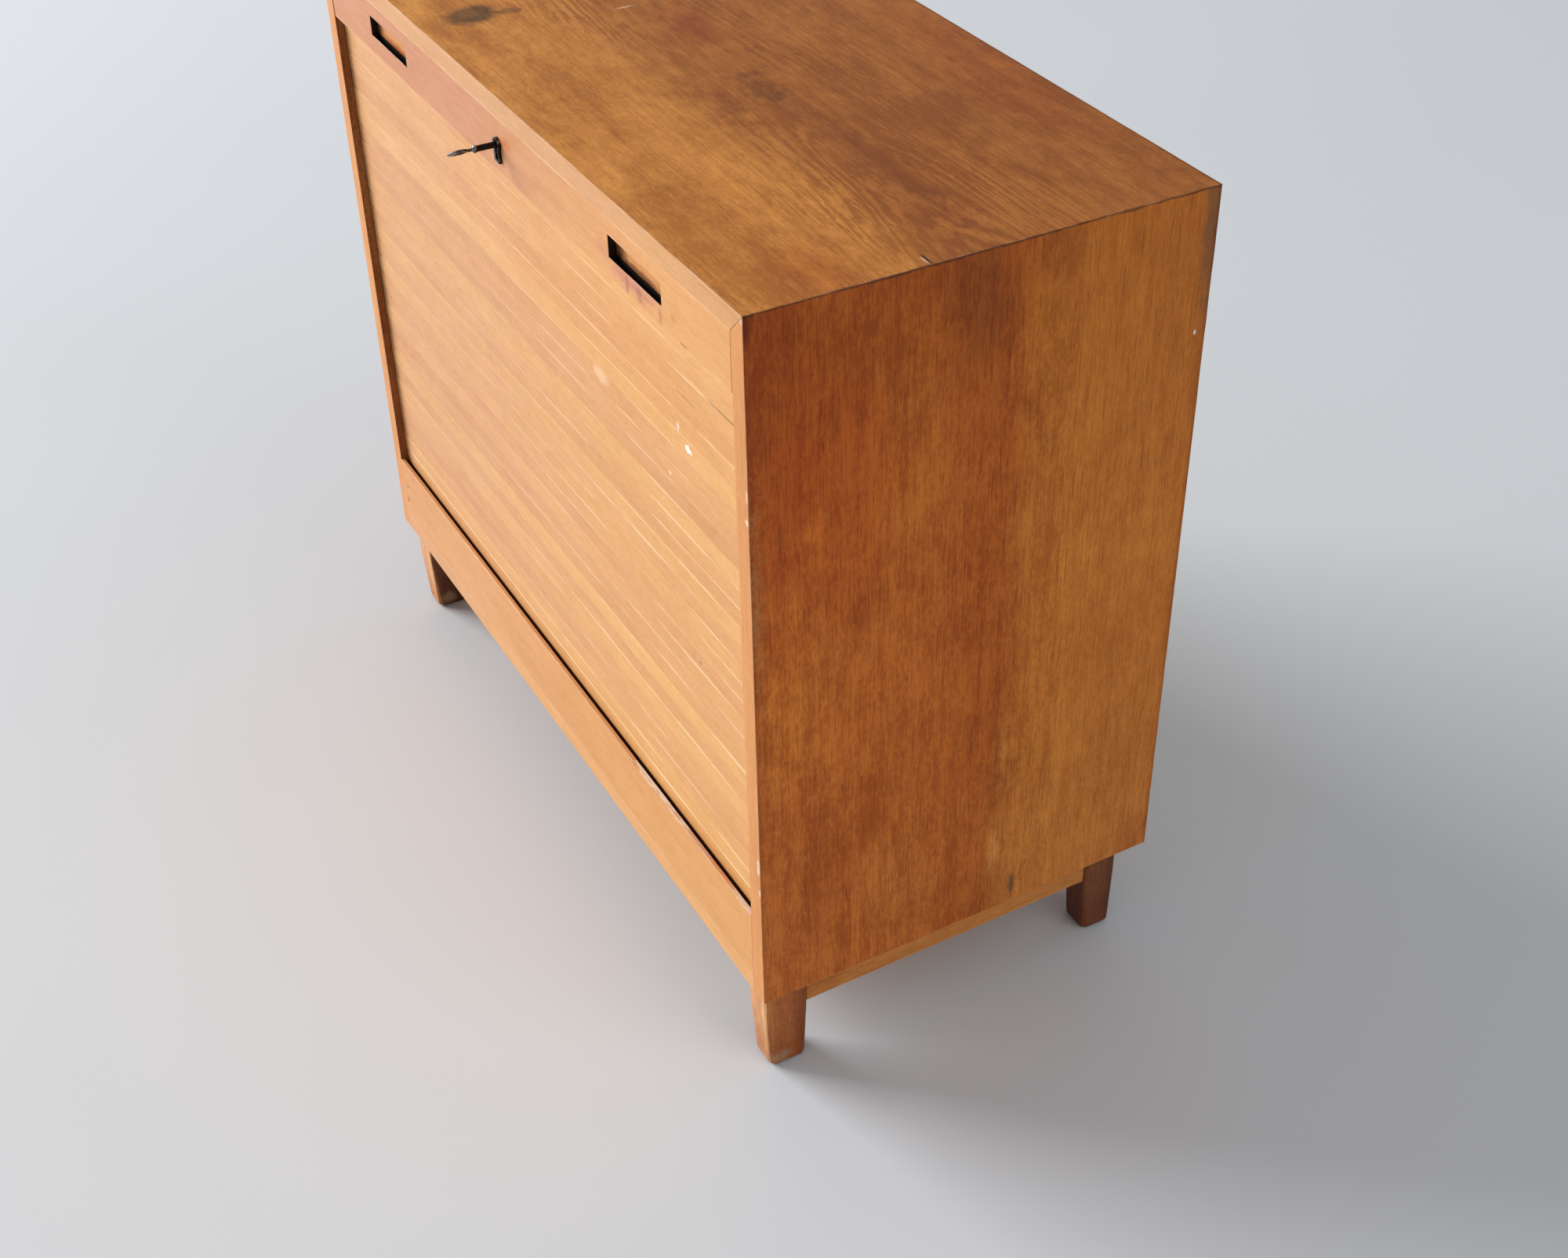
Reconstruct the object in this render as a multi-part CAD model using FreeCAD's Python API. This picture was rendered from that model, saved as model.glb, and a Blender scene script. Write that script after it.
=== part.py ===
import FreeCAD, Part
import math
import os

from FreeCAD import Vector

# Tambour door cabinet: a mitred box on a low leg frame, closed by a slatted curtain that
# slides down behind the bottom rail, runs back under the inner floor and up behind the inner back.
# Millimetres, +Z up, the front faces -Y. Shapes are drawn with y = 0 at the front of the box
# and z = 0 on the floor, then moved so that the origin is the bottom centre of the whole.

# Box
carcass_width = 902.0
carcass_depth = 426.0
carcass_height = 700.0
side_thickness = 20.0
top_thickness = 20.0
bottom_thickness = 20.0
back_thickness = 6.0
back_inset = 2.0
rebate_width = 8.0

# Leg frame
leg_height = 108.0
leg_block_height = 40.0
leg_width = 34.0
leg_depth = 44.0
back_leg_depth = 37.0
foot_width = 33.5
foot_front_draw = 4.0
foot_back_draw = 2.0
foot_arris = 4.5
foot_chamfer = 3.5
leg_side_inset = 14.0
leg_front_inset = 9.0
leg_back_inset = 22.5
base_rail_height = 38.0
base_rail_thickness = 20.0
base_rail_side_step = 2.5
tenon_length = 12.0
tenon_thickness = 10.0
tenon_shoulder = 5.0

# Curtain
slat_count = 30
curtain_tail = 43.0
slat_gap = 0.16
slat_thickness = 7.0
slat_edge = 0.9
slat_recess = 9.0
slat_tongue = 7.0
canvas_thickness = 0.6
canvas_margin = 4.0
canvas_lap = 30.0
canvas_notch_gap = 2.0
bend_radius = 66.0
curtain_floor_gap = 3.0
rear_run_gap = 6.0

# Groove for the curtain
groove_depth = 8.0
groove_front_clearance = 0.5
groove_back_clearance = 1.2
groove_spare = 40.0

# Lead rail with its finger pulls
lead_height = 52.5
lead_top_gap = 0.4
lead_side_gap = 1.0
lead_front_inset = 0.5
pull_width = 93.5
pull_height = 19.5
pull_depth = 7.0
pull_offset = 269.0
pull_rise = 18.2
pull_lip = 0.8
pull_undercut = 9.0

# Bottom rail
fascia_height = 76.0
fascia_thickness = 8.0
fascia_lip = 4.4
fascia_lip_height = 14.0

# Inner floor, inner back and shelf
floor_drop = 4.0
floor_thickness = 12.0
floor_front = 24.0
floor_housing = 5.0
inner_back_thickness = 5.0
inner_back_gap = 5.5
shelf_rise = 288.0
shelf_thickness = 18.0
shelf_front = 45.0
shelf_side_gap = 0.5
shelf_back_gap = 2.0
pin_radius = 2.5
pin_reach = 8.0
pin_hole_depth = 10.0
pin_inset = 60.0

# Lock
lock_rise = 28.0
case_width = 56.0
case_height = 46.5
case_depth = 15.0
case_front = 9.0
case_wall = 1.5
case_fit = 0.2
cover_thickness = 1.5
hook_pivot_offset = 16.0
hook_pivot_rise = 7.0
hook_inner_radius = 20.0
hook_outer_radius = 25.0
hook_thickness = 3.2
hook_front = 17.8
hook_hub_radius = 5.0
hook_spoke_width = 6.0
hook_end_gap = 0.3
hook_slot_gap = 0.8
pivot_radius = 2.0
running_clearance = 0.05
hook_tip_angle = -52.0
hook_tail_angle = -127.0
strike_length = 64.0
strike_width = 12.0
strike_thickness = 1.2
strike_pocket_height = 8.0
strike_hook_reach = 9.5

# Keyhole liner and key
liner_radius = 6.5
liner_wall = 1.9
liner_width = 10.4
liner_drop = 16.5
liner_proud = 3.0
liner_set_in = 2.5
keyhole_width = 3.6
keyhole_drop = 12.0
shank_radius = 2.8
shank_end = 17.2
collar_radius = 3.4
collar_length = 2.4
bow_length = 19.5
bow_height = 17.0
bow_thickness = 2.6
bow_hole_length = 11.5
bow_hole_height = 9.5
neck_length = 4.5
neck_radius = 1.5
neck_set_in = 1.0
key_reach = 46.5
bit_length = 5.5
bit_start = 11.0
bit_reach = 10.0
bit_thickness = 2.2
key_turn = 57.0

# Screws
base_screw_radius = 2.0
base_screw_head_radius = 4.0
base_screw_head = 3.0
base_screw_counterbore = 14.0
base_screw_hole_radius = 4.5
base_screw_bite = 14.0
base_screw_spread_share = 0.36

# Extra length of every cut beyond the face it breaks through
overrun = 5.0

# Worked out from the sizes above
half_width = carcass_width / 2
half_inside = half_width - side_thickness
base = leg_height
crown = leg_height + carcass_height
inside_top = crown - top_thickness
inside_bottom = base + bottom_thickness
rebate_depth = back_thickness + back_inset
rebate_front = carcass_depth - rebate_depth
lead_top = inside_top - lead_top_gap
lead_bottom = lead_top - lead_height
slat_back = slat_recess + slat_thickness
run_height = inside_bottom + curtain_floor_gap + slat_thickness
bend_height = run_height + bend_radius
front_bend = slat_back + bend_radius
rear_line = rebate_front - rear_run_gap - slat_thickness
rear_bend = rear_line - bend_radius
straight_length = lead_bottom - bend_height
bend_length = bend_radius * math.pi / 2
curtain_length = straight_length + curtain_tail
slat_pitch = curtain_length / slat_count
stored_path = 2 * bend_length + rear_bend - front_bend
groove_outer = slat_thickness + groove_front_clearance
groove_end = bend_height + max(curtain_length - stored_path, 0) + groove_spare
fascia_top = inside_bottom + fascia_height
floor_top = fascia_top - floor_drop
floor_back = rear_line - inner_back_gap
shelf_bottom = floor_top + shelf_rise
pin_height = shelf_bottom - pin_radius
inner_back_front = floor_back - inner_back_thickness
lock_height = lead_bottom + lock_rise
case_bottom = lead_top - case_height
case_back = case_front + case_depth
pivot_height = lock_height + hook_pivot_rise
bow_centre = bow_length / 2 - key_reach
origin_shift = -(carcass_depth - key_reach) / 2


def box(x0, x1, y0, y1, z0, z1):
    return Part.makeBox(x1 - x0, y1 - y0, z1 - z0, Vector(x0, y0, z0))


def prism(points, run):
    """A closed outline of straight lines, pushed along a vector."""
    return Part.Face(Part.makePolygon(points + points[:1])).extrude(run)


def rod(radius, start, end):
    """A round bar between two points."""
    run = end - start
    return Part.makeCylinder(radius, run.Length, start, run)


def mirrored(shape):
    """The same shape on the other side of the cabinet."""
    return shape.mirror(Vector(0, 0, 0), Vector(1, 0, 0))


def bend_arc(centre, radius, start, end):
    """An arc in the side view, around a bend of the curtain."""
    points = []
    for angle in (start, (start + end) / 2, end):
        along = radius * math.cos(math.radians(angle))
        rise = radius * math.sin(math.radians(angle))
        points.append(Vector(half_inside, centre + along, bend_height + rise))
    return Part.Arc(*points).toShape()


def groove():
    """The curved track in the right-hand side: down the front, along the bottom, up the back."""
    outer = bend_radius + groove_outer
    inner = bend_radius - groove_back_clearance

    def line(y0, z0, y1, z1):
        return Part.makeLine(Vector(half_inside, y0, z0), Vector(half_inside, y1, z1))

    edges = [
        line(front_bend - outer, inside_top, front_bend - outer, bend_height),
        bend_arc(front_bend, outer, 180, 270),
        line(front_bend, bend_height - outer, rear_bend, bend_height - outer),
        bend_arc(rear_bend, outer, 270, 360),
        line(rear_bend + outer, bend_height, rear_bend + outer, groove_end),
        line(rear_bend + outer, groove_end, rear_bend + inner, groove_end),
        line(rear_bend + inner, groove_end, rear_bend + inner, bend_height),
        bend_arc(rear_bend, inner, 360, 270),
        line(rear_bend, bend_height - inner, front_bend, bend_height - inner),
        bend_arc(front_bend, inner, 270, 180),
        line(front_bend - inner, bend_height, front_bend - inner, inside_top),
        line(front_bend - inner, inside_top, front_bend - outer, inside_top),
    ]
    face = Part.Face(Part.Wire(edges))
    return face.extrude(Vector(groove_depth, 0, 0))


def back_rebate():
    reach = half_inside + rebate_width
    low = inside_bottom - rebate_width
    high = inside_top + rebate_width
    return box(-reach, reach, rebate_front, carcass_depth + overrun, low, high)


def pin_places():
    for y in (shelf_front + pin_inset, inner_back_front - pin_inset):
        yield Vector(half_inside, y, pin_height)


def side_panel():
    """The right-hand side, mitred to the top, with the track, the rebate and the housings."""
    outline = [
        Vector(half_inside, 0, base),
        Vector(half_width, 0, base),
        Vector(half_width, 0, crown),
        Vector(half_inside, 0, inside_top),
    ]
    panel = prism(outline, Vector(0, carcass_depth, 0))
    housing = box(half_inside - overrun, half_inside + floor_housing, floor_front, floor_back,
                  floor_top - floor_thickness, floor_top)
    panel = panel.cut([groove(), back_rebate(), housing])
    for place in pin_places():
        panel = panel.cut(rod(pin_radius, place, place + Vector(pin_hole_depth, 0, 0)))
    return panel


def top_panel():
    outline = [
        Vector(-half_width, 0, crown),
        Vector(half_width, 0, crown),
        Vector(half_inside, 0, inside_top),
        Vector(-half_inside, 0, inside_top),
    ]
    panel = prism(outline, Vector(0, carcass_depth, 0))
    return panel.cut([back_rebate(), strike_blank(), strike_pocket()])


def bottom_panel():
    panel = box(-half_inside, half_inside, 0, carcass_depth, base, inside_bottom)
    return panel.cut([back_rebate()] + base_screw_holes())


def back_panel():
    reach = half_inside + rebate_width
    return box(-reach, reach, rebate_front, rebate_front + back_thickness,
               inside_bottom - rebate_width, inside_top + rebate_width)


def inner_floor():
    reach = half_inside + floor_housing
    return box(-reach, reach, floor_front, floor_back, floor_top - floor_thickness, floor_top)


def inner_back():
    return box(-half_inside, half_inside, inner_back_front, floor_back, floor_top, inside_top)


def shelf():
    reach = half_inside - shelf_side_gap
    return box(-reach, reach, shelf_front, inner_back_front - shelf_back_gap,
               shelf_bottom, shelf_bottom + shelf_thickness)


def shelf_pins():
    pins = []
    for place in pin_places():
        pin = rod(pin_radius, place - Vector(pin_reach, 0, 0), place + Vector(pin_hole_depth, 0, 0))
        pins += [pin, mirrored(pin)]
    return Part.makeCompound(pins)


def bottom_rail():
    """The front rail over the bottom edge, rebated behind so that the curtain turns in behind a thin lip."""
    rail = box(-half_inside, half_inside, 0, fascia_thickness, inside_bottom, fascia_top)
    rebate = box(-half_inside - overrun, half_inside + overrun, fascia_lip, fascia_thickness + overrun,
                 fascia_top - fascia_lip_height, fascia_top + overrun)
    return rail.cut(rebate)


def curtain_point(length):
    """The point of the slats' back line that lies this far below the lead rail."""
    if length <= straight_length:
        return Vector(0, slat_back, lead_bottom - length)
    turned = length - straight_length
    if turned <= bend_length:
        angle = turned / bend_radius
        return Vector(0, front_bend - bend_radius * math.cos(angle),
                      bend_height - bend_radius * math.sin(angle))
    return Vector(0, front_bend + turned - bend_length, run_height)


def curtain_joints():
    return [curtain_point(number * slat_pitch) for number in range(slat_count + 1)]


def slat(upper, lower):
    """One slat between two joints of the canvas, with its ends running in the grooves."""
    reach = half_inside + slat_tongue
    along = (lower - upper).normalize()
    out = Vector(1, 0, 0).cross(along).normalize()
    middle = (upper + lower) / 2 - Vector(reach, 0, 0)
    half = (slat_pitch - slat_gap) / 2
    section = [(-half, 0), (half, 0), (half, slat_thickness - slat_edge),
               (half - slat_edge, slat_thickness), (slat_edge - half, slat_thickness),
               (-half, slat_thickness - slat_edge)]
    points = [middle + along * a - out * b for a, b in section]
    return prism(points, Vector(2 * reach, 0, 0))


def canvas_backing():
    """The cloth that the slats are glued to, folded at their joints and lapped onto the lead rail."""
    front = [Vector(0, slat_back, lead_bottom + canvas_lap)] + curtain_joints()
    back = []
    for number, point in enumerate(front):
        before = front[max(number, 1) - 1]
        after = front[min(number + 1, len(front) - 1)]
        first = Vector(1, 0, 0).cross(point - before if number else after - point).normalize()
        second = Vector(1, 0, 0).cross(after - point if after != point else point - before).normalize()
        back.append(point + (first + second) * (canvas_thickness / (1 + first.dot(second))))
    reach = half_inside - canvas_margin
    outline = [point - Vector(reach, 0, 0) for point in front + back[::-1]]
    cloth = prism(outline, Vector(2 * reach, 0, 0))
    notch = case_width / 2 + canvas_notch_gap
    return cloth.cut(box(-notch, notch, slat_back - overrun, slat_back + overrun,
                         case_bottom - canvas_notch_gap, lead_top))


def keyhole(radius, width, drop, y0, y1):
    """A round hole with a slot below it, around the key's axis."""
    hole = rod(radius, Vector(0, y0, lock_height), Vector(0, y1, lock_height))
    slot = box(-width / 2, width / 2, y0, y1, lock_height - drop, lock_height)
    return hole.fuse(slot).removeSplitter()


def pull_pocket(side):
    """A finger pull: a square pocket whose sill falls away behind a thin lower lip."""
    left = side * pull_offset - pull_width / 2
    low = lead_bottom + pull_rise
    back = lead_front_inset + pull_depth
    mouth = box(left, left + pull_width, lead_front_inset - overrun, back, low, low + pull_height)
    fall = [Vector(left, lead_front_inset + pull_lip, low), Vector(left, back, low),
            Vector(left, back, low - pull_undercut)]
    return mouth.fuse(prism(fall, Vector(pull_width, 0, 0)))


def lead_rail():
    """The rail at the head of the curtain, flush with the box, with tongues in both grooves."""
    reach = half_inside - lead_side_gap
    tongue = half_inside + slat_tongue
    rail = box(-reach, reach, lead_front_inset, slat_back, lead_bottom, lead_top)
    rail = rail.fuse(box(-tongue, tongue, slat_recess, slat_back, lead_bottom, lead_top)).removeSplitter()
    mortise = box(-case_width / 2 - case_fit, case_width / 2 + case_fit, case_front, slat_back + overrun,
                  case_bottom - case_fit, lead_top + overrun)
    cuts = [pull_pocket(-1), pull_pocket(1), mortise, liner_blank()]
    cuts.append(keyhole(liner_radius - liner_wall, keyhole_width, keyhole_drop,
                        lead_front_inset, case_front))
    return rail.cut(cuts)


def liner_blank():
    """The outside of the keyhole liner: a round head over a straight stem."""
    return keyhole(liner_radius, liner_width, liner_drop, lead_front_inset - liner_proud,
                   lead_front_inset + liner_set_in)


def keyhole_liner():
    inner_width = liner_width - 2 * liner_wall
    hole = keyhole(liner_radius - liner_wall, inner_width, liner_drop - liner_wall,
                   lead_front_inset - liner_proud - overrun, lead_front_inset + liner_set_in + overrun)
    return liner_blank().cut(hole)


def hook_window(gap, low, high):
    """The straight-sided room that the turning hook passes through between two levels."""
    least = math.sqrt(hook_inner_radius ** 2 - min(high - pivot_height, hook_inner_radius) ** 2)
    most = math.sqrt(hook_outer_radius ** 2 - (low - pivot_height) ** 2)
    return box(hook_pivot_offset - most - gap, hook_pivot_offset - least + gap,
               hook_front - gap, hook_front + hook_thickness + gap, low, high)


def lock_case():
    """A shallow tray let into the back of the lead rail, open at the back."""
    half = case_width / 2
    shell = box(-half, half, case_front, case_back, case_bottom, lead_top)
    room = box(-half + case_wall, half - case_wall, case_front + case_wall, case_back + overrun,
               case_bottom + case_wall, lead_top - case_wall)
    hole = keyhole(shank_radius + running_clearance, keyhole_width, keyhole_drop,
                   case_front - overrun, case_front + case_wall)
    return shell.cut([room, hole, hook_window(hook_slot_gap, lead_top - case_wall, lead_top)])


def lock_cover():
    half = case_width / 2
    return box(-half, half, case_back, case_back + cover_thickness, case_bottom, lead_top)


def hook_pivot():
    return rod(pivot_radius, Vector(hook_pivot_offset, case_front + case_wall, pivot_height),
               Vector(hook_pivot_offset, case_back, pivot_height))


def sector(start, end, inner, outer):
    """A piece of a ring around the hook's pivot, with angles from straight up."""
    def at(radius, angle):
        return Vector(hook_pivot_offset + radius * math.sin(math.radians(angle)), hook_front,
                      pivot_height + radius * math.cos(math.radians(angle)))

    middle = (start + end) / 2
    edges = [
        Part.Arc(at(outer, start), at(outer, middle), at(outer, end)).toShape(),
        Part.makeLine(at(outer, end), at(inner, end)),
        Part.Arc(at(inner, end), at(inner, middle), at(inner, start)).toShape(),
        Part.makeLine(at(inner, start), at(outer, start)),
    ]
    return Part.Face(Part.Wire(edges)).extrude(Vector(0, hook_thickness, 0))


def hook_bolt():
    """A curved claw that swings about its own centre, up through the strike in the top."""
    centre = Vector(hook_pivot_offset, 0, pivot_height)
    hub = rod(hook_hub_radius, centre + Vector(0, case_front + case_wall + hook_end_gap, 0),
              centre + Vector(0, case_back - hook_end_gap, 0))
    half = hook_spoke_width / 2
    spoke = box(hook_pivot_offset - half, hook_pivot_offset + half, hook_front, hook_front + hook_thickness,
                pivot_height, pivot_height + (hook_inner_radius + hook_outer_radius) / 2)
    lean = math.degrees(half / hook_inner_radius)
    spoke.rotate(centre, Vector(0, 1, 0), hook_tail_angle + lean)
    hook = sector(hook_tail_angle, hook_tip_angle, hook_inner_radius, hook_outer_radius)
    hook = hook.fuse([hub, spoke]).removeSplitter()
    return hook.cut(rod(pivot_radius + running_clearance, centre, centre + Vector(0, case_back, 0)))


def strike_blank():
    """The recess for the strike plate, flush with the underside of the top."""
    middle = hook_front + hook_thickness / 2
    half = strike_length / 2
    return box(-half, half, middle - strike_width / 2, middle + strike_width / 2,
               inside_top, inside_top + strike_thickness)


def strike_pocket():
    """The room above the strike plate for the raised hook."""
    tip = hook_pivot_offset + hook_outer_radius * math.sin(math.radians(strike_hook_reach))
    start = hook_pivot_offset - hook_outer_radius
    return box(start, tip + hook_slot_gap, hook_front - hook_slot_gap,
               hook_front + hook_thickness + hook_slot_gap,
               inside_top, inside_top + strike_thickness + strike_pocket_height)


def strike_plate():
    return strike_blank().cut(hook_window(hook_slot_gap, inside_top, inside_top + strike_thickness))


def key():
    """A barrel key with an oval bow, part turned in its lock."""
    axis = Vector(0, 0, lock_height)

    def oval(length, height):
        middle = Vector(-bow_thickness / 2, bow_centre, lock_height)
        ring = Part.Ellipse(middle + Vector(0, length / 2, 0), middle + Vector(0, 0, height / 2), middle)
        return Part.Face(Part.Wire(ring.toShape())).extrude(Vector(bow_thickness, 0, 0))

    bow_end = bow_length - key_reach
    neck_end = bow_end + neck_length
    bow = oval(bow_length, bow_height).cut(oval(bow_hole_length, bow_hole_height))
    neck = rod(neck_radius, axis + Vector(0, bow_end - neck_set_in, 0),
               axis + Vector(0, neck_end + collar_length, 0))
    shank = rod(shank_radius, axis + Vector(0, neck_end, 0), axis + Vector(0, shank_end, 0))
    collar = rod(collar_radius, axis + Vector(0, neck_end, 0), axis + Vector(0, neck_end + collar_length, 0))
    bit = box(-bit_thickness / 2, bit_thickness / 2, bit_start, bit_start + bit_length,
              lock_height - bit_reach, lock_height)
    shape = shank.fuse([bow, neck, collar, bit]).removeSplitter()
    shape.rotate(axis, Vector(0, 1, 0), key_turn)
    return shape


def leg_span(front):
    if front:
        return leg_front_inset, leg_front_inset + leg_depth
    far = carcass_depth - leg_back_inset
    return far - back_leg_depth, far


def frustum(lower, upper):
    """A solid with flat sides between two level outlines of as many corners."""
    faces = []
    for ring in (lower, upper):
        faces.append(Part.Face(Part.makePolygon(ring + ring[:1])))
    for number in range(len(lower)):
        after = (number + 1) % len(lower)
        side = [lower[number], lower[after], upper[after], upper[number]]
        faces.append(Part.Face(Part.makePolygon(side + side[:1])))
    return Part.makeSolid(Part.makeShell(faces))


def leg(front):
    """A right-hand leg: a block at the rails, then a taper to a foot with broad arrises.

    A front leg draws in at the front and the back, and a back leg only at the front.
    """
    outer = half_width - leg_side_inset
    near, far = leg_span(front)
    foot_near = near + foot_front_draw
    foot_far = far - foot_back_draw if front else far

    def ring(width, front_edge, back_edge, arris, inset, z):
        left, right = outer - width + inset, outer - inset
        low, high = front_edge + inset, back_edge - inset
        corners = [(left + arris, low), (right - arris, low), (right, low + arris), (right, high - arris),
                   (right - arris, high), (left + arris, high), (left, high - arris), (left, low + arris)]
        return [Vector(x, y, z) for x, y in corners]

    top = ring(leg_width, near, far, base_rail_side_step, 0, base)
    shoulder = ring(leg_width, near, far, base_rail_side_step, 0, base - leg_block_height)
    ankle = ring(foot_width, foot_near, foot_far, foot_arris, 0, foot_chamfer)
    toe = ring(foot_width, foot_near, foot_far, foot_arris, foot_chamfer, 0)
    shape = frustum(shoulder, top).fuse([frustum(ankle, shoulder), frustum(toe, ankle)]).removeSplitter()
    return shape.cut([side_tenon(front), cross_tenon(front)])


def side_rail_left():
    """The inner face of the right-hand side rail."""
    return half_width - leg_side_inset - base_rail_side_step - base_rail_thickness


def side_tenon(front):
    """The tongue of a side rail inside its leg."""
    near, far = leg_span(front)
    start = side_rail_left() + (base_rail_thickness - tenon_thickness) / 2
    edge = (far - tenon_length, far) if front else (near, near + tenon_length)
    return box(start, start + tenon_thickness, edge[0], edge[1],
               base - base_rail_height + tenon_shoulder, base - tenon_shoulder)


def cross_tenon(front):
    """The tongue of a front or back rail inside its right-hand leg."""
    near, far = leg_span(front)
    middle = (near + far) / 2
    edge = half_width - leg_side_inset - leg_width
    return box(edge, edge + tenon_length, middle - tenon_thickness / 2, middle + tenon_thickness / 2,
               base - base_rail_height + tenon_shoulder, base - tenon_shoulder)


def side_rail_span():
    return leg_span(True)[1], leg_span(False)[0]


def base_screw_places():
    """Where the leg frame is screwed up into the bottom: two in each rail."""
    near, far = side_rail_span()
    reach = (far - near) * base_screw_spread_share
    side = side_rail_left() + base_rail_thickness / 2
    places = []
    for y in ((near + far) / 2 - reach, (near + far) / 2 + reach):
        places += [Vector(side, y, base), Vector(-side, y, base)]
    for front in (True, False):
        middle = sum(leg_span(front)) / 2
        spread = half_inside * base_screw_spread_share
        places += [Vector(spread, middle, base), Vector(-spread, middle, base)]
    return places


def base_screw_holes():
    holes = []
    bottom = base - base_rail_height
    for place in base_screw_places():
        seat = Vector(place.x, place.y, bottom + base_screw_counterbore)
        mouth = seat - Vector(0, 0, base_screw_counterbore + overrun)
        holes.append(rod(base_screw_hole_radius, mouth, seat))
        holes.append(rod(base_screw_radius, seat, place + Vector(0, 0, base_screw_bite)))
    return holes


def base_screws():
    screws = []
    for place in base_screw_places():
        seat = Vector(place.x, place.y, base - base_rail_height + base_screw_counterbore)
        head = rod(base_screw_head_radius, seat - Vector(0, 0, base_screw_head), seat)
        shaft = rod(base_screw_radius, seat, place + Vector(0, 0, base_screw_bite))
        screws.append(head.fuse(shaft).removeSplitter())
    return Part.makeCompound(screws)


def side_rail():
    near, far = side_rail_span()
    start = side_rail_left()
    rail = box(start, start + base_rail_thickness, near, far, base - base_rail_height, base)
    rail = rail.fuse([side_tenon(True), side_tenon(False)]).removeSplitter()
    return rail.cut(base_screw_holes())


def cross_rail(front):
    middle = sum(leg_span(front)) / 2
    edge = half_width - leg_side_inset - leg_width
    rail = box(-edge, edge, middle - base_rail_thickness / 2, middle + base_rail_thickness / 2,
               base - base_rail_height, base)
    tenon = cross_tenon(front)
    return rail.fuse([tenon, mirrored(tenon)]).removeSplitter().cut(base_screw_holes())


def export(name, shape):
    placed = shape.copy()
    placed.translate(Vector(0, origin_shift, 0))
    placed.exportStep("parts/" + name + ".step")


def main():
    os.makedirs("parts", exist_ok=True)
    right_side = side_panel()
    export("right_side", right_side)
    export("left_side", mirrored(right_side))
    export("top_panel", top_panel())
    export("bottom_panel", bottom_panel())
    export("back_panel", back_panel())
    export("inner_floor", inner_floor())
    export("inner_back", inner_back())
    export("shelf", shelf())
    export("shelf_pins", shelf_pins())
    export("bottom_rail", bottom_rail())

    export("lead_rail", lead_rail())
    export("keyhole_liner", keyhole_liner())
    export("lock_case", lock_case())
    export("lock_cover", lock_cover())
    export("hook_pivot", hook_pivot())
    export("hook_bolt", hook_bolt())
    export("strike_plate", strike_plate())
    export("key", key())

    joints = curtain_joints()
    for number in range(slat_count):
        export("slat_%02d" % (number + 1), slat(joints[number], joints[number + 1]))
    export("canvas_backing", canvas_backing())

    for name, front in (("front", True), ("back", False)):
        right_leg = leg(front)
        export("leg_%s_right" % name, right_leg)
        export("leg_%s_left" % name, mirrored(right_leg))
        export("base_rail_%s" % name, cross_rail(front))
    right_rail = side_rail()
    export("base_rail_right", right_rail)
    export("base_rail_left", mirrored(right_rail))
    export("base_screws", base_screws())


main()
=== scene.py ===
import math
import random

import bmesh
import bpy
from mathutils import Matrix, Vector, noise


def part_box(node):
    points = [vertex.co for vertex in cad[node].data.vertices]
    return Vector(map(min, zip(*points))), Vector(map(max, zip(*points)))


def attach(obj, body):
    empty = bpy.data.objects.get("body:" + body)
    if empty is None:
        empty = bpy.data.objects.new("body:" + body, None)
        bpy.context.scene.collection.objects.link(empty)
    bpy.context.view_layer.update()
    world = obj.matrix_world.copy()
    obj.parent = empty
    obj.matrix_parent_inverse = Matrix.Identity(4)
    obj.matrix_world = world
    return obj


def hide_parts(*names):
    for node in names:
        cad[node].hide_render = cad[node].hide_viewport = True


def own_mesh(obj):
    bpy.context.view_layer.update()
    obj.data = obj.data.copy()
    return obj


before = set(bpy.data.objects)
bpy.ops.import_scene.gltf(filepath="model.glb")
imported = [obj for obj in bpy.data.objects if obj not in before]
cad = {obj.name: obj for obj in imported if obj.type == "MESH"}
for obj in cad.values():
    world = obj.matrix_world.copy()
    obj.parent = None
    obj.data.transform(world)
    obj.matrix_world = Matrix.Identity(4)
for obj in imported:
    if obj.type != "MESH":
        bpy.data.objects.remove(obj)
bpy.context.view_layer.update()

scene = bpy.context.scene
draw = random.Random(11)

# places on the solids that several pieces share
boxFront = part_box("right_side")[0].y
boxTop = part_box("top_panel")[1].z
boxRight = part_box("right_side")[1].x
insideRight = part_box("right_side")[0].x
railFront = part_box("lead_rail")[0].y
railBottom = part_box("lead_rail")[0].z
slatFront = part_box("slat_01")[0].y
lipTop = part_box("bottom_rail")[1].z

far = 9.0  # past every end of the cabinet
touch = 0.0001  # closer than this is on a face
weld = 1e-6  # closer than this is one vertex
longEdge = 0.015  # shorter edges belong to joints and pockets


# node helpers

def newNode(tree, kind, **settings):
    node = tree.nodes.new("ShaderNode" + kind)
    for name, value in settings.items():
        setattr(node, name, value)
    return node


def plug(tree, socket, value):
    if isinstance(value, bpy.types.NodeSocket):
        tree.links.new(value, socket)
    elif socket.type == "RGBA":
        socket.default_value = (*value[:3], 1.0)
    else:
        socket.default_value = value


def plugAll(tree, node, values):
    for label, value in values.items():
        plug(tree, node.inputs[label], value)
    return node.outputs


def calc(tree, operation, *values, clamp=False):
    node = newNode(tree, "Math", operation=operation, use_clamp=clamp)
    for socket, value in zip(node.inputs, values):
        plug(tree, socket, value)
    return node.outputs[0]


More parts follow.
